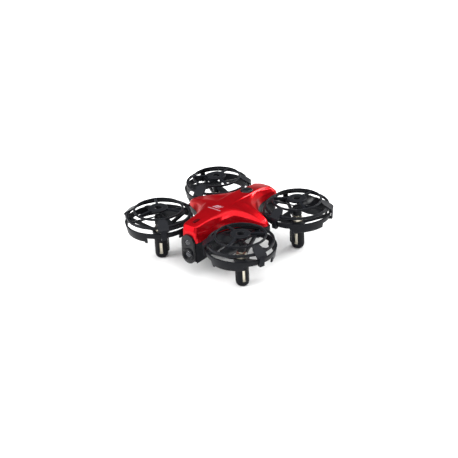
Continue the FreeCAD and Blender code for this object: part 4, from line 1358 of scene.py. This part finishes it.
class PALMDRONE_OT_ducts(DroneOperator, bpy.types.Operator):
    """Build the four ducts with their pods, struts and arms"""

    bl_idname = "palm_drone.ducts"
    bl_label = "Ducts"
    builder = staticmethod(build_ducts)


class PALMDRONE_OT_guards(DroneOperator, bpy.types.Operator):
    """Build the four clip-on guards"""

    bl_idname = "palm_drone.guards"
    bl_label = "Guards"
    builder = staticmethod(build_guards)


class PALMDRONE_OT_propellers(DroneOperator, bpy.types.Operator):
    """Build the four propellers"""

    bl_idname = "palm_drone.propellers"
    bl_label = "Propellers"
    builder = staticmethod(build_propellers)


class PALMDRONE_OT_motors(DroneOperator, bpy.types.Operator):
    """Build the four motor cans"""

    bl_idname = "palm_drone.motors"
    bl_label = "Motors"
    builder = staticmethod(build_motors)


class PALMDRONE_OT_camera(DroneOperator, bpy.types.Operator):
    """Build the nose plate, camera ring and lenses"""

    bl_idname = "palm_drone.camera"
    bl_label = "Nose Camera"
    builder = staticmethod(build_camera)


class PALMDRONE_OT_button(DroneOperator, bpy.types.Operator):
    """Build the power button"""

    bl_idname = "palm_drone.button"
    bl_label = "Power Button"
    builder = staticmethod(build_button)


class PALMDRONE_OT_window(DroneOperator, bpy.types.Operator):
    """Build the smoky window over the status light"""

    bl_idname = "palm_drone.window"
    bl_label = "Light Window"
    builder = staticmethod(build_window)


class PALMDRONE_OT_battery(DroneOperator, bpy.types.Operator):
    """Build the sliding battery case"""

    bl_idname = "palm_drone.battery"
    bl_label = "Battery Tray"
    builder = staticmethod(build_battery)


class PALMDRONE_OT_screws(DroneOperator, bpy.types.Operator):
    """Place the screws in the underside"""

    bl_idname = "palm_drone.screws"
    bl_label = "Screws"
    builder = staticmethod(build_screws)


class PALMDRONE_OT_stage(DroneOperator, bpy.types.Operator):
    """Lay the floor and set the lights and camera"""

    bl_idname = "palm_drone.stage"
    bl_label = "Stage"
    builder = staticmethod(build_stage)


OPERATORS = [PALMDRONE_OT_finishes,
             PALMDRONE_OT_cad_finishes,
             PALMDRONE_OT_top_shell,
             PALMDRONE_OT_lower_shell,
             PALMDRONE_OT_ducts,
             PALMDRONE_OT_guards,
             PALMDRONE_OT_propellers,
             PALMDRONE_OT_motors,
             PALMDRONE_OT_camera,
             PALMDRONE_OT_button,
             PALMDRONE_OT_window,
             PALMDRONE_OT_battery,
             PALMDRONE_OT_screws,
             PALMDRONE_OT_stage]
GROUPS = {"colours": DroneColours, "shell": ShellSizes, "duct": DuctSizes, "guard": GuardSizes,
          "propeller": PropellerSizes, "studio": StudioSettings}


class PALMDRONE_PT_panel(bpy.types.Panel):
    """Lists the drone's pieces and their settings"""

    bl_idname = "PALMDRONE_PT_panel"
    bl_label = "Palm Drone"
    bl_space_type = "VIEW_3D"
    bl_region_type = "UI"
    bl_category = "Palm Drone"

    def draw(self, context):
        for operator in OPERATORS:
            self.layout.operator(operator.bl_idname)
        for name in GROUPS:
            group = getattr(context.scene, "palm_drone_" + name)
            column = self.layout.box().column(align=True)
            column.label(text=name.capitalize())
            for key in group.__annotations__:
                column.prop(group, key)


def register():
    for name, group in GROUPS.items():
        bpy.utils.register_class(group)
        setattr(bpy.types.Scene, "palm_drone_" + name, PointerProperty(type=group))
    for cls in [*OPERATORS, PALMDRONE_PT_panel]:
        bpy.utils.register_class(cls)


def unregister():
    for cls in [PALMDRONE_PT_panel, *reversed(OPERATORS)]:
        bpy.utils.unregister_class(cls)
    for name, group in GROUPS.items():
        delattr(bpy.types.Scene, "palm_drone_" + name)
        bpy.utils.unregister_class(group)


def main():
    register()
    for operator in OPERATORS:
        getattr(bpy.ops.palm_drone, operator.bl_idname.split(".")[1])()


if __name__ == "__main__":
    main()
